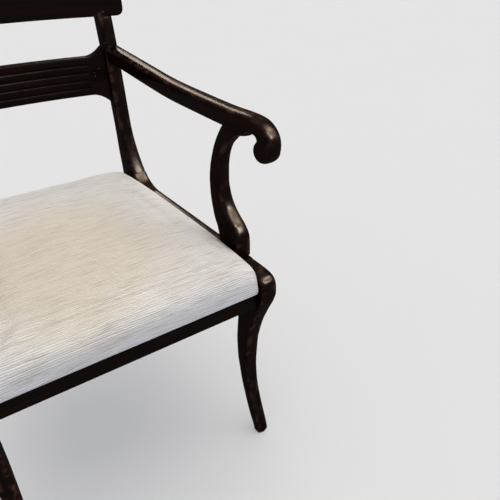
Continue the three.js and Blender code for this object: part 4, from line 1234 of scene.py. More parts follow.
@dataclass(frozen=True)
class CrossRails:
    """Seat rails across the front and the back, with the blocks and battens behind them."""

    finishes: Finishes
    plan: Plan = PLAN
    thickness: float = 0.028
    front_height: float = 0.036
    back_height: float = 0.052
    back_inset: float = 0.0045
    housed: float = 0.005
    edge: Edge = Edge(0.002, 0.002)
    spacing: float = 0.012
    block_bevel: float = 0.0008

    @property
    def back_face(self) -> float:
        """The y before the shift of the back rail's back."""
        plan = self.plan
        return plan.chair_y(-plan.rail_width / 2, plan.frame_depth) - self.back_inset

    def build(self) -> None:
        """Makes both rails and dresses the blocks and battens."""
        setback = self.plan.front_rail_setback
        self.rail("front_rail", setback + self.thickness / 2, self.front_height)
        self.rail("back_rail", self.back_face - self.thickness / 2, self.back_height)
        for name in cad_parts:
            if name.startswith(("corner_block", "seat_batten", "seat_frame")):
                self.planed(name)

    def rail(self, node: str, middle: float, height: float) -> None:
        """Makes a rail between the two sides, with its ends cut to their splay.

        Args:
            node: the solid's name.
            middle: the y before the shift of its middle.
            height: how high it stands below the seat's ledge.
        """
        plan = self.plan
        end = plan.plane_x(-plan.rail_width / 2, middle) + self.housed
        outline = rectangle((-end, end), (plan.seat_ledge - height, plan.seat_ledge))
        flat = board(outline, self.thickness / 2, self.edge, self.spacing, Grain.ALONG_A, step=0.004)

        def splayed(points: np.ndarray) -> np.ndarray:
            """Cuts the ends to the splay and moves the rail to its place."""
            moved = points.copy()
            moved[:, 0] *= 1 - points[:, 1] * math.tan(plan.splay) / end
            moved[:, 1] += middle + plan.shift
            return moved

        shell = flat.turned(Facing.FRONT).bent(splayed)
        finish_piece(as_object(node + "_board", shell, self.finishes.mahogany), "frame", "mahogany", node)

    def planed(self, name: str) -> None:
        """Makes a plain planed piece from its solid, with its arrises broken.

        Args:
            name: the solid's name.
        """
        solid = bpy.data.objects[name]
        made = bmesh.new()
        made.from_mesh(solid.data)
        bmesh.ops.remove_doubles(made, verts=made.verts, dist=1e-6)
        bmesh.ops.dissolve_limit(made, angle_limit=math.radians(1), verts=made.verts, edges=made.edges)
        sharp = [edge for edge in made.edges if len(edge.link_faces) == 2 and edge.calc_face_angle(0) > math.radians(40)]
        bmesh.ops.bevel(
            made, geom=sharp, offset=self.block_bevel, segments=2, profile=0.5, affect="EDGES", clamp_overlap=True
        )
        mesh = bpy.data.meshes.new(name + "_wood")
        made.to_mesh(mesh)
        made.free()
        piece = bpy.data.objects.new(name + "_wood", mesh)
        bpy.context.scene.collection.objects.link(piece)
        mesh.materials.append(self.finishes.planed)
        carry_grain(piece)
        body = "seat" if name.startswith("seat_frame") else "frame"
        finish_piece(piece, body, "beech", name)


@dataclass(frozen=True)
class BackRails:
    """The reeded middle rail with its rosettes, and the bowed crest rail."""

    finishes: Finishes
    plan: Plan = PLAN
    mid_bottom: float = 0.617
    mid_height: float = 0.113
    mid_waist: float = 0.076
    mid_sweep: float = 0.036
    mid_thickness: float = 0.019
    mid_curve: float = 0.022
    relief: float = 0.002
    reed_count: int = 5
    housed: float = 0.004
    rosette_radius: float = 0.0165
    crest_height: float = 0.08
    crest_overhang: float = 0.0393
    crest_thickness: float = 0.024
    crest_top_thickness: float = 0.018
    crest_curve: float = 0.03
    crest_lean: float = 0.012
    crest_corner: float = 0.016
    crest_arch: float = 0.006
    edge: Edge = Edge(0.0025, 0.0025)
    crest_edge: Edge = Edge(0.005, 0.007)
    spacing: float = 0.0075

    @property
    def mid_end(self) -> float:
        """Where the middle rail meets the stile, on the left."""
        plan = self.plan
        out = -plan.stile_width / 2
        return plan.plane_x(out, plan.chair_y(out, plan.stile_middle(self.mid_bottom + self.mid_height / 2)))

    @property
    def waist_low(self) -> float:
        """Height of the lower edge of the reeding."""
        return self.mid_bottom + (self.mid_height - self.mid_waist) / 2

    def build(self) -> None:
        """Makes the rails, the reeds and the rosettes."""
        self.mid_rail()
        self.reeds()
        self.rosettes()
        self.crest_rail()

    def mid_y(self, x: np.ndarray, z: np.ndarray) -> np.ndarray:
        """The y of the middle rail's middle at places seen from the front."""
        half = self.mid_end + self.mid_sweep
        lean = np.array([self.plan.band_middle(float(height)) for height in np.atleast_1d(z)])
        return lean + self.mid_curve * (1 - (x / half) ** 2) + self.plan.shift

    def mid_rail(self) -> None:
        """Makes the middle rail's board, which the reeds and rosettes stand on."""
        waist = (self.mid_height - self.mid_waist) / 2
        low, high = self.mid_bottom, self.mid_bottom + self.mid_height
        end, near = self.mid_end, self.mid_end - self.mid_sweep
        far = end + self.housed
        t = np.linspace(0, 1, 16)[:, None]

        def sweep(z_end: float, z_near: float) -> np.ndarray:
            """The hollow curve from the stile to the waist on the left."""
            a, b, c = np.array([(end, z_end), ((near + end) / 2, z_near), (near, z_near)])
            return (1 - t) ** 2 * a + 2 * t * (1 - t) * b + t**2 * c

        lower = np.vstack([[(far, low)], sweep(low, low + waist)])
        upper = np.vstack([[(far, high)], sweep(high, high - waist)])
        flip = np.array((-1, 1))
        outline = np.vstack([lower[::-1], upper, upper[::-1] * flip, lower * flip])
        thick = self.mid_thickness - self.relief
        flat = board(outline, thick / 2, self.edge, self.spacing, Grain.ALONG_A)

        def bowed(points: np.ndarray) -> np.ndarray:
            """Bows the board and leans it with the stiles."""
            moved = points.copy()
            moved[:, 1] += self.mid_y(points[:, 0], points[:, 2]) + self.relief / 2
            return moved

        shell = flat.turned(Facing.FRONT).bent(bowed)
        finish_piece(as_object("middle_rail", shell, self.finishes.mahogany), "frame", "mahogany", "mid_rail")

    def reeds(self) -> None:
        """Grows the reeds along the bow of the middle rail."""
        pitch = self.mid_waist / self.reed_count
        length = self.mid_end - self.mid_sweep - 0.001
        xs = np.linspace(-length, length, 61)
        front = self.mid_thickness / 2 - self.relief
        points, edges = [], []
        for reed in range(self.reed_count):
            z = self.waist_low + (reed + 0.5) * pitch
            start = len(points)
            ys = self.mid_y(xs, np.array([z])) - front
            points += [(float(x), float(y), z) for x, y in zip(xs, ys)]
            edges += [(start + i, start + i + 1) for i in range(len(xs) - 1)]
        seed = bpy.data.meshes.new("reed_paths")
        seed.from_pydata(points, edges, [])
        tree = Tree("reeds", half_width=pitch * 0.47, relief=self.relief)
        path = tree.add("GeometryNodeMeshToCurve", {0: tree.size("Geometry")})
        level = tree.add("GeometryNodeSetCurveNormal", {0: path.outputs[0]}, mode="Z_UP")
        ring = tree.add("GeometryNodeCurvePrimitiveCircle", {"Resolution": 16, "Radius": 1.0})
        size = tree.add("ShaderNodeCombineXYZ", {"X": tree.size("relief"), "Y": tree.size("half_width"), "Z": 1.0})
        shape = tree.add("GeometryNodeTransform", {0: ring.outputs[0], "Scale": size.outputs[0]})
        swept = tree.add(
            "GeometryNodeCurveToMesh", {0: level.outputs[0], 1: shape.outputs[0], "Fill Caps": True}
        )
        tree.end(swept.outputs[0], self.finishes.mahogany)
        piece = tree.grow("middle_rail_reeds", seed)
        carry_grain(piece)
        finish_piece(piece, "frame", "mahogany")

    def rosettes(self) -> None:
        """Grows a carved rosette at each end of the middle rail."""
        tree = Tree("rosette", radius=self.rosette_radius, petals=8)
        radius, petals = tree.size("radius"), tree.size("petals")

        def times(share: float) -> bpy.types.NodeSocket:
            """The rosette's radius times a share."""
            return tree.add("ShaderNodeMath", {0: radius, 1: share}, operation="MULTIPLY").outputs[0]

        def vector(x: float, y: float, z: float) -> bpy.types.NodeSocket:
            """A vector of shares of the radius."""
            return tree.add("ShaderNodeCombineXYZ", {"X": times(x), "Y": times(y), "Z": times(z)}).outputs[0]

        ball = tree.add("GeometryNodeMeshUVSphere", {"Segments": 16, "Rings": 10, "Radius": 1.0})
        petal = tree.add(
            "GeometryNodeTransform", {0: ball.outputs[0], "Scale": vector(0.3, 0.17, 0.13), "Translation": vector(0.52, 0, 0.02)}
        )
        boss = tree.add("GeometryNodeTransform", {0: ball.outputs[0], "Scale": vector(0.2, 0.2, 0.17)})
        spots = tree.add("GeometryNodePoints", {"Count": petals})
        number = tree.add("GeometryNodeInputIndex")
        turn = tree.add("ShaderNodeMath", {0: number.outputs[0], 1: 2 * math.pi}, operation="MULTIPLY")
        angle = tree.add("ShaderNodeMath", {0: turn.outputs[0], 1: petals}, operation="DIVIDE")
        spin = tree.add("ShaderNodeCombineXYZ", {"Z": angle.outputs[0]})
        ring = tree.add(
            "GeometryNodeInstanceOnPoints",
            {"Points": spots.outputs[0], "Instance": petal.outputs[0], "Rotation": spin.outputs[0]},
        )
        path = tree.add("GeometryNodeCurvePrimitiveCircle", {"Resolution": 48, "Radius": times(0.92)})
        bead = tree.add("GeometryNodeCurvePrimitiveCircle", {"Resolution": 10, "Radius": times(0.085)})
        rim = tree.add("GeometryNodeCurveToMesh", {0: path.outputs[0], 1: bead.outputs[0]})
        whole = tree.add("GeometryNodeJoinGeometry")
        for part in (ring.outputs[0], boss.outputs[0], rim.outputs[0]):
            tree.group.links.new(part, whole.inputs[0])
        at_ends = tree.add(
            "GeometryNodeInstanceOnPoints",
            {
                "Points": tree.size("Geometry"), "Instance": whole.outputs[0],
                "Rotation": aimed(tree),
            },
        )
        tree.end(at_ends.outputs[0], self.finishes.mahogany)
        x = self.mid_end - self.mid_sweep / 2
        z = self.mid_bottom + self.mid_height / 2
        y = float(self.mid_y(np.array([x]), np.array([z]))[0]) - self.mid_thickness / 2 + self.relief
        slope = 2 * self.mid_curve * x / (self.mid_end + self.mid_sweep) ** 2
        seed = bpy.data.meshes.new("rosette_places")
        seed.from_pydata([(x, y, z), (-x, y, z)], [], [])
        aims = seed.attributes.new("aim", "FLOAT_VECTOR", "POINT")
        aims.data.foreach_set("vector", [-slope, -1, 0, slope, -1, 0])
        piece = tree.grow("middle_rail_rosettes", seed)
        carry_grain(piece)
        finish_piece(piece, "frame", "mahogany")

    def crest_rail(self) -> None:
        """Makes the crest rail, bowed and leaning back."""
        plan = self.plan
        stile_x = plan.plane_x(0, plan.chair_y(0, plan.stile_middle(plan.stile_top)))
        half_length = stile_x + self.crest_overhang
        low, high = plan.stile_top + plan.gap, plan.stile_top + self.crest_height
        inner, corner, arch = half_length - self.crest_corner, self.crest_corner, self.crest_arch
        t = np.linspace(0, 1, 14)[:, None]

        def bend(p0: tuple, p1: tuple, p2: tuple) -> np.ndarray:
            """A round corner or a low arch through its pull point."""
            a, b, c = (np.array(p, float) for p in (p0, p1, p2))
            return (1 - t) ** 2 * a + 2 * t * (1 - t) * b + t**2 * c

        top = high - arch
        outline = np.vstack([
            bend((inner, low), (half_length, low), (half_length, low + corner)),
            bend((half_length, top - corner), (half_length, top), (inner, top)),
            bend((inner, top), (0, high + arch), (-inner, top))[1:-1],
            bend((-inner, top), (-half_length, top), (-half_length, top - corner)),
            bend((-half_length, low + corner), (-half_length, low), (-inner, low)),
        ])
        at_stile = self.crest_curve * (1 - (stile_x / half_length) ** 2)

        def rise(z: np.ndarray) -> np.ndarray:
            """Share of the crest's height at a height."""
            return (z - plan.stile_top) / self.crest_height

        def half(places: np.ndarray) -> np.ndarray:
            """Half of the crest's thickness."""
            full = self.crest_thickness + rise(places[:, 1]) * (self.crest_top_thickness - self.crest_thickness)
            return full / 2

        def bowed(points: np.ndarray) -> np.ndarray:
            """Bows the board over the stiles and leans its top back."""
            moved = points.copy()
            x, z = points[:, 0], points[:, 2]
            bow = self.crest_curve * (1 - (x / half_length) ** 2) - at_stile
            lean = plan.band_middle(plan.stile_top) + self.crest_lean * rise(z) ** 2
            moved[:, 1] += bow + lean + plan.shift
            return moved

        flat = board(outline, half, self.crest_edge, self.spacing, Grain.ALONG_A)
        shell = flat.turned(Facing.FRONT).bent(bowed)
        finish_piece(as_object("top_rail", shell, self.finishes.mahogany), "frame", "mahogany", "crest_rail")


def aimed(tree: Tree) -> bpy.types.NodeSocket:
    """A rotation that turns z to the direction that each point carries as its aim.

    Args:
        tree: the tree that gets the nodes.

    Returns:
        The rotation's socket.
    """
    aim = tree.add("GeometryNodeInputNamedAttribute", {"Name": "aim"}, data_type="FLOAT_VECTOR")
    turned = tree.add("FunctionNodeAlignRotationToVector", {"Vector": aim.outputs["Attribute"]}, axis="Z")
    return turned.outputs[0]


@dataclass(frozen=True)
class Fixings:
    """Screws of the frame and the plugs that hide the arm screws."""

    finishes: Finishes
    plan: Plan = PLAN
    shank_radius: float = 0.0022
    head_radius: float = 0.0042
    head_height: float = 0.003
    slot_width: float = 0.0009
    plug_proud: float = 0.0003

    def build(self) -> None:
        """Makes every fixing."""
        self.screws("block_screw")
        self.screws("batten_screw")
        self.screws("support_screw")
        self.screws("arm_screw")
        for side in Side:
            self.plug(side)

    def screws(self, words: str) -> None:
        """Grows the screws whose solids' names start with some words.

        Args:
            words: the first words of the names.
        """
        nodes = [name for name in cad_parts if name.startswith(words)]
        heads, aims, length = [], [], 0.0
        for name in nodes:
            head, tip = self.ends(bpy.data.objects[name])
            heads.append(tuple(head))
            aims += [*(tip - head).normalized()]
            length = (tip - head).length
        seed = bpy.data.meshes.new(words + "_heads")
        seed.from_pydata(heads, [], [])
        seed.attributes.new("aim", "FLOAT_VECTOR", "POINT").data.foreach_set("vector", aims)
        piece = self.screw_tree(length).grow(words + "s", seed)
        finish_piece(piece, "frame", "steel", *nodes)

    @staticmethod
    def ends(solid: bpy.types.Object) -> tuple[Vector, Vector]:
        """The middle of a screw's head and of its tip, from its solid.

        Args:
            solid: the screw's solid.

        Returns:
            The two places.
        """
        points = np.array([tuple(v.co) for v in solid.data.vertices])
        centre = points.mean(0)
        axis = np.linalg.svd(points - centre)[2][0]
        along = (points - centre) @ axis
        spread = np.linalg.norm(points - centre - along[:, None] * axis, axis=1)
        if along[spread.argmax()] > 0:
            axis, along = -axis, -along
        wide = spread > spread.max() * 0.98
        middle = points[wide].mean(0)
        near = middle - centre
        line = centre + axis * (near @ axis) + (near - axis * (near @ axis))
        return Vector(line), Vector(line + axis * (along.max() - along.min()))

    def screw_tree(self, length: float) -> Tree:
        """The tree of a slotted countersunk screw, set at each point along its aim.

        Args:
            length: the screws' length.

        Returns:
            The tree.
        """
        tree = Tree(
            "countersunk_screw", head_radius=self.head_radius, head_height=self.head_height,
            shank_radius=self.shank_radius, length=length, slot=self.slot_width,
        )
        head = tree.add("GeometryNodeMeshCone", {
            "Vertices": 24, "Radius Top": tree.size("shank_radius"),
            "Radius Bottom": tree.size("head_radius"), "Depth": tree.size("head_height"),
        })
        shank = tree.add("GeometryNodeMeshCone", {
            "Vertices": 16, "Radius Top": 0.0003, "Radius Bottom": tree.size("shank_radius"),
            "Depth": tree.size("length"),
        })
        wide = tree.add("ShaderNodeMath", {0: tree.size("head_radius"), 1: 2.4}, operation="MULTIPLY")
        deep = tree.add("ShaderNodeMath", {0: tree.size("slot"), 1: 2.2}, operation="MULTIPLY")
        size = tree.add("ShaderNodeCombineXYZ", {
            "X": wide.outputs[0], "Y": tree.size("slot"), "Z": deep.outputs[0],
        })
        groove = tree.add("GeometryNodeMeshCube", {"Size": size.outputs[0]})
        slotted = tree.add("GeometryNodeMeshBoolean", operation="DIFFERENCE", solver="EXACT")
        tree.group.links.new(head.outputs[0], slotted.inputs[0])
        tree.group.links.new(groove.outputs[0], slotted.inputs[1])
        whole = tree.add("GeometryNodeJoinGeometry")
        for part in (slotted.outputs[0], shank.outputs[0]):
            tree.group.links.new(part, whole.inputs[0])
        placed = tree.add("GeometryNodeInstanceOnPoints", {
            "Points": tree.size("Geometry"), "Instance": whole.outputs[0], "Rotation": aimed(tree),
        })
        tree.end(placed.outputs[0], self.finishes.steel)
        return tree

    def plug(self, side: Side) -> None:
        """Makes the wooden plug behind an arm screw.

        Args:
            side: the side that it is on.
        """
        node = f"arm_plug_{side.word}"
        low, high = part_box(node)
        middle = (low + high) / 2
        radius = (high.z - low.z) / 2
        depth = (high.y - low.y) / 2 + self.plug_proud
        profile = [
            (0, -depth), (radius * 0.9, -depth), (radius, -depth * 0.8), (radius, depth * 0.86),
            (radius * 0.96, depth * 0.97), (radius * 0.86, depth), (0, depth * 1.02),
        ]
        turn = Matrix.Rotation(-math.pi / 2 + 0.0, 4, "X")
        splay = Matrix.Rotation(self.plan.splay * side.value, 4, "Z")
        place = Matrix.Translation(middle) @ splay @ turn
        shell = lathed(profile, 40).placed(place)
        finish_piece(as_object(f"{side.word}_arm_peg", shell, self.finishes.mahogany), "frame", "mahogany", node)


@dataclass(frozen=True)
class DropInSeat:
    """The loose seat: its linen cushion, its webbing, hessian and dust cover."""

    finishes: Finishes
    plan: Plan = PLAN
    seat_gap: float = 0.0008
    cover: float = 0.0012
    bar_height: float = 0.02
    overhang: float = 0.0115
    back_inset: float = 0.0015
    crown: float = 0.012
    shoulder: float = 0.0615
    rounding: float = 0.02
    back_share: float = 0.5
    corner_share: float = 0.4
    frame_gap: float = 0.002
    strap_width: float = 0.05
    strap_thickness: float = 0.0015
    strap_pitch: float = 0.084
    strap_count: int = 4
    cross_pitch: float = 0.108
    cross_count: int = 3
    strap_inset: float = 0.008
    hessian_inset: float = 0.006
    hessian_thickness: float = 0.001
    dust_inset: float = 0.036
    dust_thickness: float = 0.0008
    turn_under: float = 0.03
    around: int = 420
    rows: int = 84
    swell: float = 0.004
    swell_cap: float = 0.008
    side_give: float = 0.002
    side_fullness: float = 0.0055
    side_rise: float = 0.006
    crease: float = 0.0028
    crease_width: float = 0.011
    crease_inset: float = 0.034

    @property
    def outer(self) -> float:
        """How far out the cover's face is from the middle of a side frame."""
        return -self.plan.rail_width / 2 - self.seat_gap

    @property
    def bar_outer(self) -> float:
        """How far out the seat frame's face is from the middle of a side frame."""
        return self.outer - self.cover - self.plan.gap

    @property
    def bottom(self) -> float:
        """Height of the seat frame's underside."""
        return self.plan.seat_ledge + self.plan.gap

    @property
    def front(self) -> float:
        """The y before the shift of the front of the seat's foot."""
        return self.plan.front_rail_setback

    @property
    def back(self) -> float:
        """The y before the shift of the back of the seat."""
        plan = self.plan
        return plan.chair_y(-plan.rail_width / 2, plan.frame_depth) - self.back_inset

    @property
    def bar_front(self) -> float:
        """The y before the shift of the seat frame's front."""
        return self.front + self.cover

    @property
    def bar_back(self) -> float:
        """The y before the shift of the seat frame's back."""
        return self.back - self.cover - self.plan.gap - self.frame_gap

    @property
    def ceiling(self) -> float:
        """Height of the underside of the stuffing."""
        return self.strap_base + 2 * (self.strap_thickness + self.plan.gap) + self.hessian_thickness + self.plan.gap

    @property
    def strap_base(self) -> float:
        """Height of the lower side of the lower straps."""
        return self.bottom + self.bar_height + self.plan.gap

    def build(self) -> None:
        """Makes every piece of the seat."""
        self.webbing()
        self.hessian()
        self.dust_cover()
        self.tacks()
        self.cushion()

    def ring(self, front: float, back: float, outer: float, radius: float, z: float) -> tuple[np.ndarray, np.ndarray]:
        """A level outline with round corners, and the way out at each of its places.

        Args:
            front: its front, before the shift.
            back: its back, before the shift.
            outer: how far out its sides are from the middle of a side frame.
            radius: the radius of its corners.
            z: its height.

        Returns:
            Its places and the level unit vectors that point out of it.
        """
        plan = self.plan
        quarter = self.around // 4
        bend = quarter // 4
        corners = [
            (-plan.plane_x(outer, front + radius) + radius, front + radius, math.pi),
            (plan.plane_x(outer, front + radius) - radius, front + radius, math.pi * 1.5),
            (plan.plane_x(outer, back - radius) - radius, back - radius, 0.0),
            (-plan.plane_x(outer, back - radius) + radius, back - radius, math.pi * 0.5),
        ]
        rounds = []
        for x, y, start in corners:
            turn = start + np.linspace(0, math.pi / 2, bend + 1)
            way = np.stack([np.cos(turn), np.sin(turn)], axis=1)
            rounds.append((np.array((x, y)) + radius * way, way))
        places, ways = [], []
        for i, (curve, way) in enumerate(rounds):
            after, after_way = rounds[(i + 1) % 4]
            share = np.linspace(0, 1, quarter - bend + 1)[1:-1, None]
            places += [curve, curve[-1] + share * (after[0] - curve[-1])]
            between = way[-1] + share * (after_way[0] - way[-1])
            ways += [way, between]
        flat, out = np.vstack(places), np.vstack(ways)
        points = np.column_stack([flat[:, 0], flat[:, 1] + plan.shift, np.full(len(flat), z)])
        return points, np.column_stack([out, np.zeros(len(out))])

    def cushion_rings(self, inset: float) -> tuple[list[np.ndarray], np.ndarray]:
        """The cushion's outside as level rings from its foot to its crown.

        Args:
            inset: how far the form is drawn in all over.

        Returns:
            The rings in order and the way out at each place of a ring.
        """
        bulge, round_off = smooth_run(CUSHION_BULGE_SHARES), smooth_run(CUSHION_ROUND_SHARES)
        fullness = smooth_run(CUSHION_FULLNESS_SHARES)
        rings = []
        for share in np.linspace(0, 1, 15):
            at = np.array([share])
            drawn = float(round_off(at)[0]) * self.rounding
            points, ways = self.ring(
                self.front - float(bulge(at)[0]) * self.overhang + inset,
                self.back - self.back_share * drawn - inset,
                self.outer - drawn - inset,
                self.rounding * (self.corner_share + share) - inset,
                self.bottom + share * self.shoulder - inset,
            )
            along = (points[:, 1] - points[:, 1].min()) / (points[:, 1].max() - points[:, 1].min())
            full = np.abs(ways[:, 0]) * np.clip(1 - np.abs(2 * along - 1) ** 3, 0, 1)
            points += ways * (full * float(fullness(at)[0]) * self.side_fullness)[:, None]
            points[:, 2] += full * share**2 * self.side_rise
            rings.append(points)
        return rings, ways

    def crown_rings(self, shoulder: np.ndarray, shares: Sequence[float]) -> list[np.ndarray]:
        """Rings that go from the cushion's shoulder to its middle and rise to its crown.

        Args:
            shoulder: the topmost ring of the edge.
            shares: how far each ring is on its way to the middle.

        Returns:
            The rings in order.
        """
        plan = self.plan
        middle = np.array((0, (self.bar_front + self.bar_back) / 2 + plan.shift, 0))
        swell = smooth_run(CROWN_SHARES)
        half_depth = (shoulder[:, 1].max() - shoulder[:, 1].min()) / 2
        depth_middle = shoulder[:, 1].min() + half_depth
        rings = []
        for share in shares:
            ring = shoulder + share * (middle - shoulder)
            half_width = plan.plane_x(self.outer - self.rounding, 0) - (ring[:, 1] - plan.shift) * math.tan(plan.splay)
            across = swell(np.clip(1 - np.abs(ring[:, 0]) / half_width, 0, 1))
            along = swell(np.clip(1 - np.abs(ring[:, 1] - depth_middle) / half_depth, 0, 1))
            lift = (shoulder[:, 2] - shoulder[:, 2].min()) * (1 - share) ** 2
            inset = half_width - np.abs(ring[:, 0]) - self.crease_inset
            pressed = np.exp(-((inset / self.crease_width) ** 2)) * along**2
            ring[:, 2] = shoulder[:, 2].min() + lift + self.crown * across * along - self.crease * pressed
            rings.append(ring)
        return rings

    def cushion(self) -> None:
        """Makes the cushion: its form, its swell and its weave."""
        rings, ways = self.cushion_rings(0)
        middle = np.array((0, (self.bar_front + self.bar_back) / 2 + self.plan.shift, 0))
        rings += self.crown_rings(rings[-1], np.linspace(0, 0.99, 34)[1:])
        outside = self.evened(np.array(rings), self.rows)
        lining = self.lining()
        whole = [*lining, *outside]
        count = self.around
        points = np.vstack([[(middle[0], middle[1], self.ceiling)], *whole, [(middle[0], middle[1], outside[-1][0, 2])]])
        last = len(points) - 1
        faces: list[tuple[int, ...]] = []
        for i in range(count):
            j = (i + 1) % count
            faces.append((0, 1 + j, 1 + i))
            faces.append((last, last - count + i, last - count + j))
            for row in range(len(whole) - 1):
                low, high = 1 + row * count, 1 + (row + 1) * count
                faces.append((low + i, low + j, high + j, high + i))
        shell = Shell(points, faces, points, np.zeros(len(points)))
        piece = as_object("seat_cushion", shell, self.finishes.linen)
        self.carry_weave(piece, len(lining), outside, ways)
        self.swell_out(piece, ways)
        finish_piece(piece, "seat", "linen", "seat_cover", "seat_padding")

    @staticmethod
    def evened(rings: np.ndarray, count: int) -> list[np.ndarray]:
        """The same form with its rings evenly spaced up the profile.

        Args:
            rings: rings by places by coordinates.
            count: how many rings to make.

        Returns:
            The new rings.
        """
        steps = np.linalg.norm(np.diff(rings, axis=0), axis=2).mean(1)
        along = np.r_[0, np.cumsum(steps)]
        at = np.linspace(0, along[-1], count)
        i = np.clip(np.searchsorted(along, at, side="right") - 1, 0, len(along) - 2)
        t = ((at - along[i]) / (along[i + 1] - along[i]))[:, None, None]
        before = rings[np.maximum(i - 1, 0)]
        after = rings[np.minimum(i + 2, len(rings) - 1)]
        a, b = rings[i], rings[i + 1]
        v0, v1 = (b - before) / 2, (after - a) / 2
        made = (2 * (a - b) + v0 + v1) * t**3 + (3 * (b - a) - 2 * v0 - v1) * t**2 + v0 * t + a
        return list(made)

    def lining(self) -> list[np.ndarray]:
        """The rings under the stuffing, round the seat frame and under its edge."""
        plan = self.plan
        gap = plan.gap / 2
        radius = 0.017
        inner = (self.bar_front - gap, self.bar_back + gap, self.bar_outer + gap, radius)
        under = plan.seat_ledge + gap / 5, self.bottom - gap / 5
        hem = (
            self.bar_front + self.turn_under, self.bar_back - self.turn_under,
            self.bar_outer - self.turn_under, radius / 2,
        )
        foot = (self.front - 0.0011, self.back - 0.0002, self.outer - 0.0002, self.rounding * self.corner_share)
        ceiling = self.ring(*inner, self.ceiling)[0]
        middle = np.array((0, ceiling[:, 1].mean(), self.ceiling))
        rows = [ceiling + share * (middle - ceiling) for share in (0.97, 0.8, 0.6, 0.4, 0.2, 0.06)]
        rows += [ceiling, self.ring(*inner, (self.ceiling + under[1]) / 2)[0], self.ring(*inner, under[1])[0]]
        rows += [self.ring(*hem, under[1])[0], self.ring(*hem, under[0])[0], self.ring(*foot, under[0])[0]]
        return rows

    def carry_weave(self, piece: bpy.types.Object, before: int, outside: list[np.ndarray], ways: np.ndarray) -> None:
        """Gives each corner its place on the flat cloth, which turns down over the edges.

        Args:
            piece: the cushion.
            before: how many rings come before the outside.
            outside: the outside's rings, from the foot up.
            ways: the level way out at each place of a ring.
        """
        count = self.around
        mesh = piece.data
        points = np.empty(len(mesh.vertices) * 3, np.float64)
        mesh.vertices.foreach_get("co", points)
        cloth = points.reshape(-1, 3).copy()
        rings = np.array(outside)
        steps = np.diff(rings, axis=0)
        longer = np.linalg.norm(steps, axis=2) - np.linalg.norm(steps[:, :, :2], axis=2)
        extra = np.cumsum(longer[::-1], axis=0)[::-1]
        for row in range(len(outside) - 1):
            start = 1 + (before + row) * count
            cloth[start:start + count] += ways * extra[row][:, None]
        cloth[:, 2] = 0
        mesh.attributes.new("weave", "FLOAT_VECTOR", "POINT").data.foreach_set(
            "vector", cloth.astype(np.float32).ravel()
        )

    def swell_out(self, piece: bpy.types.Object, ways: np.ndarray) -> None:
        """Swells the cushion above the rails as stuffing does, by a cloth simulation.

        Args:
            piece: the cushion, whose mesh is moved.
            ways: the level way out at each place of a ring; the tacked sides hardly draw in.
        """
        form = self.stuffing()
        start = self.corners_of(form.data)
        swollen = self.simulated(form)
        move = swollen - start
        far = np.linalg.norm(move, axis=1)
        move *= (np.minimum(far, self.swell_cap) / np.maximum(far, 1e-9))[:, None]
        tree = KDTree(len(start))
        for i, place in enumerate(start):
            tree.insert(place, i)
        tree.balance()
        low, high = self.plan.rail_top + 0.002, self.plan.rail_top + 0.016
        for vertex in piece.data.vertices:
            rise = min(1.0, max(0.0, (vertex.co.z - low) / (high - low)))
            if rise > 0:
                near = tree.find_n(vertex.co, 12)
                weights = [1 / (distance + 0.003) for _, _, distance in near]
                shift = sum(w * move[i] for w, (_, i, _) in zip(weights, near)) / sum(weights)
                way = ways[(vertex.index - 1) % self.around]
                outward = float(shift @ way)
                shift += way * (min(max(outward, -self.side_give / 4), self.side_give) - outward)
                shift[2] = max(shift[2], -self.side_give / 2)
                vertex.co += Vector(shift) * rise * rise * (3 - 2 * rise)
        bpy.data.objects.remove(form)

    @staticmethod
    def corners_of(mesh: bpy.types.Mesh) -> np.ndarray:
        """The places of a mesh's corners."""
        points = np.empty(len(mesh.vertices) * 3)
        mesh.vertices.foreach_get("co", points)
        return points.reshape(-1, 3)

    def stuffing(self) -> bpy.types.Object:
        """A closed form a little smaller than the cushion, in even small faces."""
        rings, _ = self.cushion_rings(self.swell)
        rings = rings[1::2]
        count = self.around
        rings += self.crown_rings(rings[-1], np.linspace(0, 0.97, 20)[1:])
        points = np.vstack(rings)
        faces: list[tuple[int, ...]] = [tuple(range(count))[::-1], tuple(range(len(points) - count, len(points)))]
        for row in range(len(rings) - 1):
            for i in range(count):
                j = (i + 1) % count
                low, high = row * count, (row + 1) * count
                faces.append((low + i, low + j, high + j, high + i))
        form = as_object("stuffing", Shell(points, faces, points, np.zeros(len(points))), self.finishes.linen)
        remesh = form.modifiers.new("even", "REMESH")
        remesh.mode = "VOXEL"
        remesh.voxel_size = 0.006
        bpy.context.view_layer.update()
        even = bpy.data.meshes.new_from_object(form.evaluated_get(bpy.context.evaluated_depsgraph_get()))
        form.modifiers.clear()
        form.data = even
        return form

    def simulated(self, form: bpy.types.Object) -> np.ndarray:
        """Runs the stuffing's cloth and returns where its corners end.

        Args:
            form: the stuffing.

        Returns:
            The places of its corners after the simulation.
        """
        held = form.vertex_groups.new(name="held")
        low, high = self.plan.rail_top, self.plan.rail_top + 0.01
        for vertex in form.data.vertices:
            held.add([vertex.index], 1.0 - min(1.0, max(0.0, (vertex.co.z - low) / (high - low))), "REPLACE")
        cloth = form.modifiers.new("stuffed", "CLOTH")
        settings = cloth.settings
        settings.quality = 6
        settings.mass = 0.25
        settings.tension_stiffness = settings.compression_stiffness = 22
        settings.shear_stiffness = 8
        settings.bending_stiffness = 2.5
        settings.use_pressure = True
        settings.uniform_pressure_force = 4
        settings.effector_weights.gravity = 0
        settings.vertex_group_mass = "held"
        cloth.collision_settings.use_collision = False
        scene = bpy.context.scene
        cloth.point_cache.frame_start, cloth.point_cache.frame_end = 1, 20
        for moment in range(1, 21):
            scene.frame_set(moment)
        after = form.evaluated_get(bpy.context.evaluated_depsgraph_get()).data
        ended = self.corners_of(after)
        scene.frame_set(1)
        form.modifiers.remove(cloth)
        return ended

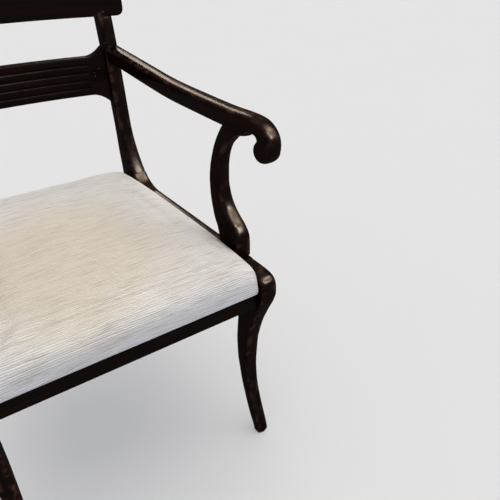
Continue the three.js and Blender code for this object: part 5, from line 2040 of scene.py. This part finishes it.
    def strap(self, start: float, end: float, crossings: Sequence[float], over_first: int) -> Shell:
        """A strap along a, with b up, that goes over and under the straps it crosses.

        Args:
            start: where it starts.
            end: where it ends.
            crossings: the middles of the straps that it crosses.
            over_first: 1 where it goes over the first one.

        Returns:
            The closed mesh, in the a, t and b of a side board.
        """
        levels = [0.0, self.strap_thickness + self.plan.gap]
        half = self.strap_width / 2 + 0.003
        table = [(start, 0.0)]
        for i, place in enumerate(crossings):
            level = levels[(i + over_first) % 2]
            table += [(place - half, level), (place + half, level)]
        run = smooth_run((*table, (end, 0.0)))
        at = np.linspace(start, end, 90)
        low = self.strap_base + run(at)
        across = np.linspace(-1, 1, 9) * self.strap_width / 2
        under = np.array([[(a, t, z) for t in across] for a, z in zip(at, low)])
        upper = under + (0, 0, self.strap_thickness)
        rows, columns = len(at), len(across)
        points = np.vstack([under.reshape(-1, 3), upper.reshape(-1, 3)])
        total = rows * columns

        def corner(row: int, column: int, lifted: int) -> int:
            """The number of a corner."""
            return row * columns + column + lifted * total

        faces: list[tuple[int, ...]] = []
        for r in range(rows - 1):
            for c in range(columns - 1):
                quad = [(r, c), (r + 1, c), (r + 1, c + 1), (r, c + 1)]
                faces.append(tuple(corner(*q, 1) for q in quad))
                faces.append(tuple(corner(*q, 0) for q in reversed(quad)))
            for c in (0, columns - 1):
                quad = (corner(r, c, 0), corner(r + 1, c, 0), corner(r + 1, c, 1), corner(r, c, 1))
                faces.append(quad if c == 0 else quad[::-1])
        for c in range(columns - 1):
            for r in (0, rows - 1):
                quad = (corner(r, c, 0), corner(r, c, 1), corner(r, c + 1, 1), corner(r, c + 1, 0))
                faces.append(quad if r == 0 else quad[::-1])
        return Shell(points, faces, points, np.zeros(len(points)))

    def webbing(self) -> None:
        """Makes the straps under the stuffing."""
        plan = self.plan
        longs = [(i - (self.strap_count - 1) / 2) * self.strap_pitch for i in range(self.strap_count)]
        seat_middle = (self.bar_front + self.bar_back) / 2
        crosses = [seat_middle + (i - (self.cross_count - 1) / 2) * self.cross_pitch for i in range(self.cross_count)]
        turned = Matrix.Rotation(math.pi / 2, 4, "Z")
        for i, x in enumerate(longs):
            flat = self.strap(self.bar_front + self.strap_inset, self.bar_back - self.strap_inset, crosses, i)
            shell = flat.placed(Matrix.Translation((x, plan.shift, 0)) @ turned)
            piece = as_object(f"long_strap_{i + 1}", shell, self.finishes.jute)
            finish_piece(piece, "seat", "jute", f"webbing_long_{i + 1}")
        for i, y in enumerate(crosses):
            end = plan.plane_x(self.bar_outer, y) - self.strap_inset - self.strap_width / 2 * math.tan(plan.splay)
            shell = self.strap(-end, end, longs, i + 1).placed(Matrix.Translation((0, y + plan.shift, 0)))
            piece = as_object(f"cross_strap_{i + 1}", shell, self.finishes.jute)
            finish_piece(piece, "seat", "jute", f"webbing_cross_{i + 1}")

    def cloth_sheet(self, inset: float, base: float, thickness: float, sag: float) -> tuple[Shell, float, tuple[float, float]]:
        """A level sheet of the seat's shape.

        Args:
            inset: how far it stays inside the seat frame.
            base: the height of its underside.
            thickness: its thickness.
            sag: how far its middle hangs.

        Returns:
            The sheet, its flat area and its flat width and length.
        """
        plan = self.plan
        front, back = self.bar_front + inset, self.bar_back - inset
        outer = self.bar_outer - inset
        wide, narrow = plan.plane_x(outer, front), plan.plane_x(outer, back)
        outline = np.array([(-wide, front), (wide, front), (narrow, back), (-narrow, back)])
        edge = Edge(thickness * 0.4, thickness * 0.4, 2)
        flat = board(outline, thickness / 2, edge, 0.02, Grain.ALONG_A, step=0.008, wall_steps=1)

        def hung(points: np.ndarray) -> np.ndarray:
            """Lets the sheet hang a little in its middle."""
            moved = points.copy()
            share_x = np.clip(1 - (points[:, 0] / wide) ** 2, 0, 1)
            middle = (front + back) / 2
            share_y = np.clip(1 - ((points[:, 1] - middle) / (back - middle)) ** 2, 0, 1)
            moved[:, 1] += plan.shift
            moved[:, 2] += base + thickness / 2 - sag * share_x * share_y
            return moved

        area = (wide + narrow) * (back - front)
        return flat.turned(Facing.PLAN).bent(hung), area, (2 * wide, back - front)

    def hessian(self) -> None:
        """Makes the hessian over the webbing."""
        base = self.strap_base + 2 * (self.strap_thickness + self.plan.gap)
        shell, area, flat = self.cloth_sheet(self.hessian_inset, base, self.hessian_thickness, 0)
        piece = as_object("hessian_sheet", shell, self.finishes.jute)
        finish_piece(piece, "seat", "jute", "hessian")

    def dust_cover(self) -> None:
        """Makes the black cloth under the seat."""
        base = self.bottom - self.plan.gap - self.dust_thickness
        shell, area, flat = self.cloth_sheet(self.dust_inset, base, self.dust_thickness, 0.0015)
        piece = as_object("bottom_cloth", shell, self.finishes.cambric)
        finish_piece(piece, "seat", "cambric", "dust_cover")

    def tacks(self) -> None:
        """Grows the tacks that hold the black cloth."""
        plan = self.plan
        inset = self.dust_inset + 0.006
        front, back = self.bar_front + inset, self.bar_back - inset
        outer = self.bar_outer - inset
        wide, narrow = plan.plane_x(outer, front), plan.plane_x(outer, back)
        outline = np.array([(-wide, front), (wide, front), (narrow, back), (-narrow, back)])
        places = resampled(outline, 0.028)
        z = self.bottom - plan.gap - self.dust_thickness
        seed = bpy.data.meshes.new("tack_places")
        seed.from_pydata([(x, y + plan.shift, z) for x, y in places], [], [])
        tree = Tree("tack", head=0.0028, height=0.0009)
        ball = tree.add("GeometryNodeMeshUVSphere", {"Segments": 12, "Rings": 6, "Radius": 1.0})
        size = tree.add("ShaderNodeCombineXYZ", {"X": tree.size("head"), "Y": tree.size("head"), "Z": tree.size("height")})
        head = tree.add("GeometryNodeTransform", {0: ball.outputs[0], "Scale": size.outputs[0]})
        placed = tree.add("GeometryNodeInstanceOnPoints", {"Points": tree.size("Geometry"), "Instance": head.outputs[0]})
        tree.end(placed.outputs[0], self.finishes.steel)
        finish_piece(tree.grow("bottom_cloth_tacks", seed), "seat", "steel")


@dataclass(frozen=True)
class Studio:
    """Pale floor, soft lamps and the camera of the photograph."""

    stand: tuple[float, float, float] = (-0.1683, -0.8539, 0.9792)
    yaw: float = math.radians(-34.1386)
    pitch: float = math.radians(34.8667)
    roll: float = math.radians(0.8252)
    lens: float = 36.0
    horizon: tuple[float, float, float] = (0.57, 0.64, 0.79)
    zenith: tuple[float, float, float] = (0.62, 0.6, 0.58)
    floor_colour: tuple[float, float, float] = (0.55, 0.54, 0.532)
    floor_glow: float = 0.3
    floor_bounce: tuple[float, float, float] = (0.46, 0.5, 0.6)
    backdrop: tuple[float, float, float] = (0.765, 0.765, 0.765)

    def build(self) -> None:
        """Makes the floor, the world, the lamps and the camera."""
        scene = bpy.context.scene
        scene.view_settings.view_transform = "Standard"
        self.floor()
        self.world()
        self.lamp("ceiling", (0.15, 0.1, 0.98), 60, 1.2, (1.0, 0.965, 0.9))
        self.lamp("side_window", (0.86, -0.42, 0.4), 26, 0.36, (0.8, 0.88, 1.0))
        self.gleam("ceiling_gleam", (0.57, -0.21, 0.8), 16, 4.8, (1.0, 0.84, 0.68))
        self.gleam("ceiling_halo", (0.55, -0.35, 0.76), 46, 12.0, (1.0, 0.74, 0.52))
        self.gleam("second_gleam", (0.5, -0.66, 0.56), 13, 7.5, (1.0, 0.84, 0.68))
        self.gleam("third_gleam", (0.34, -0.52, 0.79), 9, 4.0, (1.0, 0.84, 0.68))
        self.gleam("window_gleam", (0.32, 0.83, 0.45), 12, 2.6, (1.0, 0.84, 0.7))
        self.gleam("wall_gleam", (0.36, 0.82, 0.43), 50, 0.5, (1.0, 0.55, 0.32))
        self.camera()

    @staticmethod
    def seen(tree: bpy.types.NodeTree) -> bpy.types.NodeSocket:
        """1 for what the camera sees, straight or in a reflection, and 0 for bounced light."""
        path = tree.nodes.new("ShaderNodeLightPath")
        found = path.outputs["Is Camera Ray"]
        for kind in ("Is Glossy Ray", "Is Transmission Ray"):
            either = tree.nodes.new("ShaderNodeMath")
            either.operation = "MAXIMUM"
            tree.links.new(found, either.inputs[0])
            tree.links.new(path.outputs[kind], either.inputs[1])
            found = either.outputs[0]
        return found

    def floor(self) -> None:
        """Makes the floor, which the camera sees pale."""
        mesh = bpy.data.meshes.new("floor")
        reach = 30.0
        mesh.from_pydata([(-reach, -reach, 0), (reach, -reach, 0), (reach, reach, 0), (-reach, reach, 0)], [], [(0, 1, 2, 3)])
        b = Board("pale_floor")
        place = b.add("ShaderNodeTexCoord").outputs["Object"]
        cloud = b.noise(place, 2.2, 3)
        pale = tuple(value * 0.99 for value in self.floor_colour)
        bright = tuple(value * 1.01 for value in self.floor_colour)
        seen = self.seen(b.tree)
        b.join(b.mixed(seen, self.floor_bounce, b.mixed(cloud, pale, bright)), b.shader.inputs["Base Color"])
        b.join(b.math("MULTIPLY", seen, self.floor_glow), b.shader.inputs["Emission Strength"])
        b.shader.inputs["Emission Color"].default_value = (*self.backdrop, 1)
        b.set(roughness=0.9, specular_ior_level=0.0)
        mesh.materials.append(b.material)
        floor = bpy.data.objects.new("floor", mesh)
        bpy.context.scene.collection.objects.link(floor)

    def world(self) -> None:
        """Makes the soft light from all round."""
        world = bpy.data.worlds.new("soft_room")
        world.use_nodes = True
        nodes, links = world.node_tree.nodes, world.node_tree.links
        nodes.clear()
        place = nodes.new("ShaderNodeTexCoord")
        parts = nodes.new("ShaderNodeSeparateXYZ")
        height = nodes.new("ShaderNodeMapRange")
        shade = nodes.new("ShaderNodeMix")
        shade.data_type = "RGBA"
        room = nodes.new("ShaderNodeBackground")
        output = nodes.new("ShaderNodeOutputWorld")
        shade.inputs[6].default_value = (*self.horizon, 1)
        shade.inputs[7].default_value = (*self.zenith, 1)
        links.new(place.outputs["Generated"], parts.inputs[0])
        links.new(parts.outputs["Z"], height.inputs["Value"])
        links.new(height.outputs["Result"], shade.inputs[0])
        shown = nodes.new("ShaderNodeMix")
        shown.data_type = "RGBA"
        links.new(self.seen(world.node_tree), shown.inputs[0])
        links.new(shade.outputs[2], shown.inputs[6])
        shown.inputs[7].default_value = (*self.backdrop, 1)
        links.new(shown.outputs[2], room.inputs["Color"])
        links.new(room.outputs[0], output.inputs["Surface"])
        bpy.context.scene.world = world

    @staticmethod
    def lamp(name: str, towards: tuple, spread: float, strength: float, colour: tuple) -> bpy.types.Object:
        """Adds a soft light from one direction.

        Args:
            name: the light's name.
            towards: the way from the chair to the light.
            spread: how wide the light looks from the chair, in degrees.
            strength: its strength.
            colour: its colour.

        Returns:
            The light.
        """
        data = bpy.data.lights.new(name, "SUN")
        data.angle = math.radians(spread)
        data.energy = strength
        data.color = colour
        lamp = bpy.data.objects.new(name, data)
        lamp.rotation_euler = Vector(towards).to_track_quat("Z", "Y").to_euler()
        lamp.location = Vector(towards) * 3
        bpy.context.scene.collection.objects.link(lamp)
        return lamp

    def gleam(self, name: str, towards: tuple, spread: float, strength: float, colour: tuple) -> None:
        """Adds a light that shows only in polish, as a small lamp or bright wall does."""
        self.lamp(name, towards, spread, strength, colour).visible_diffuse = False

    def camera(self) -> None:
        """Sets the camera where the photograph was taken from."""
        right = Vector((math.cos(self.yaw), math.sin(self.yaw), 0))
        back = Vector((
            math.sin(self.yaw) * math.cos(self.pitch), -math.cos(self.yaw) * math.cos(self.pitch),
            math.sin(self.pitch),
        ))
        up = back.cross(right)
        turned_right = right * math.cos(self.roll) + up * math.sin(self.roll)
        turned_up = up * math.cos(self.roll) - right * math.sin(self.roll)
        data = bpy.data.cameras.new("photograph")
        data.lens = self.lens
        data.sensor_width = 36
        camera = bpy.data.objects.new("photograph", data)
        columns = Matrix((turned_right, turned_up, back)).transposed().to_4x4()
        camera.matrix_world = Matrix.Translation(self.stand) @ columns
        bpy.context.scene.collection.objects.link(camera)
        bpy.context.scene.camera = camera


def main() -> None:
    """Builds the chair, its finishes and the studio, and reports each piece."""
    logging.basicConfig(level=logging.INFO, format="%(message)s")
    Studio().build()
    finishes = Finishes()
    SideFrames(finishes).build()
    CrossRails(finishes).build()
    BackRails(finishes).build()
    Fixings(finishes).build()
    DropInSeat(finishes).build()


if __name__ == "__main__":
    main()
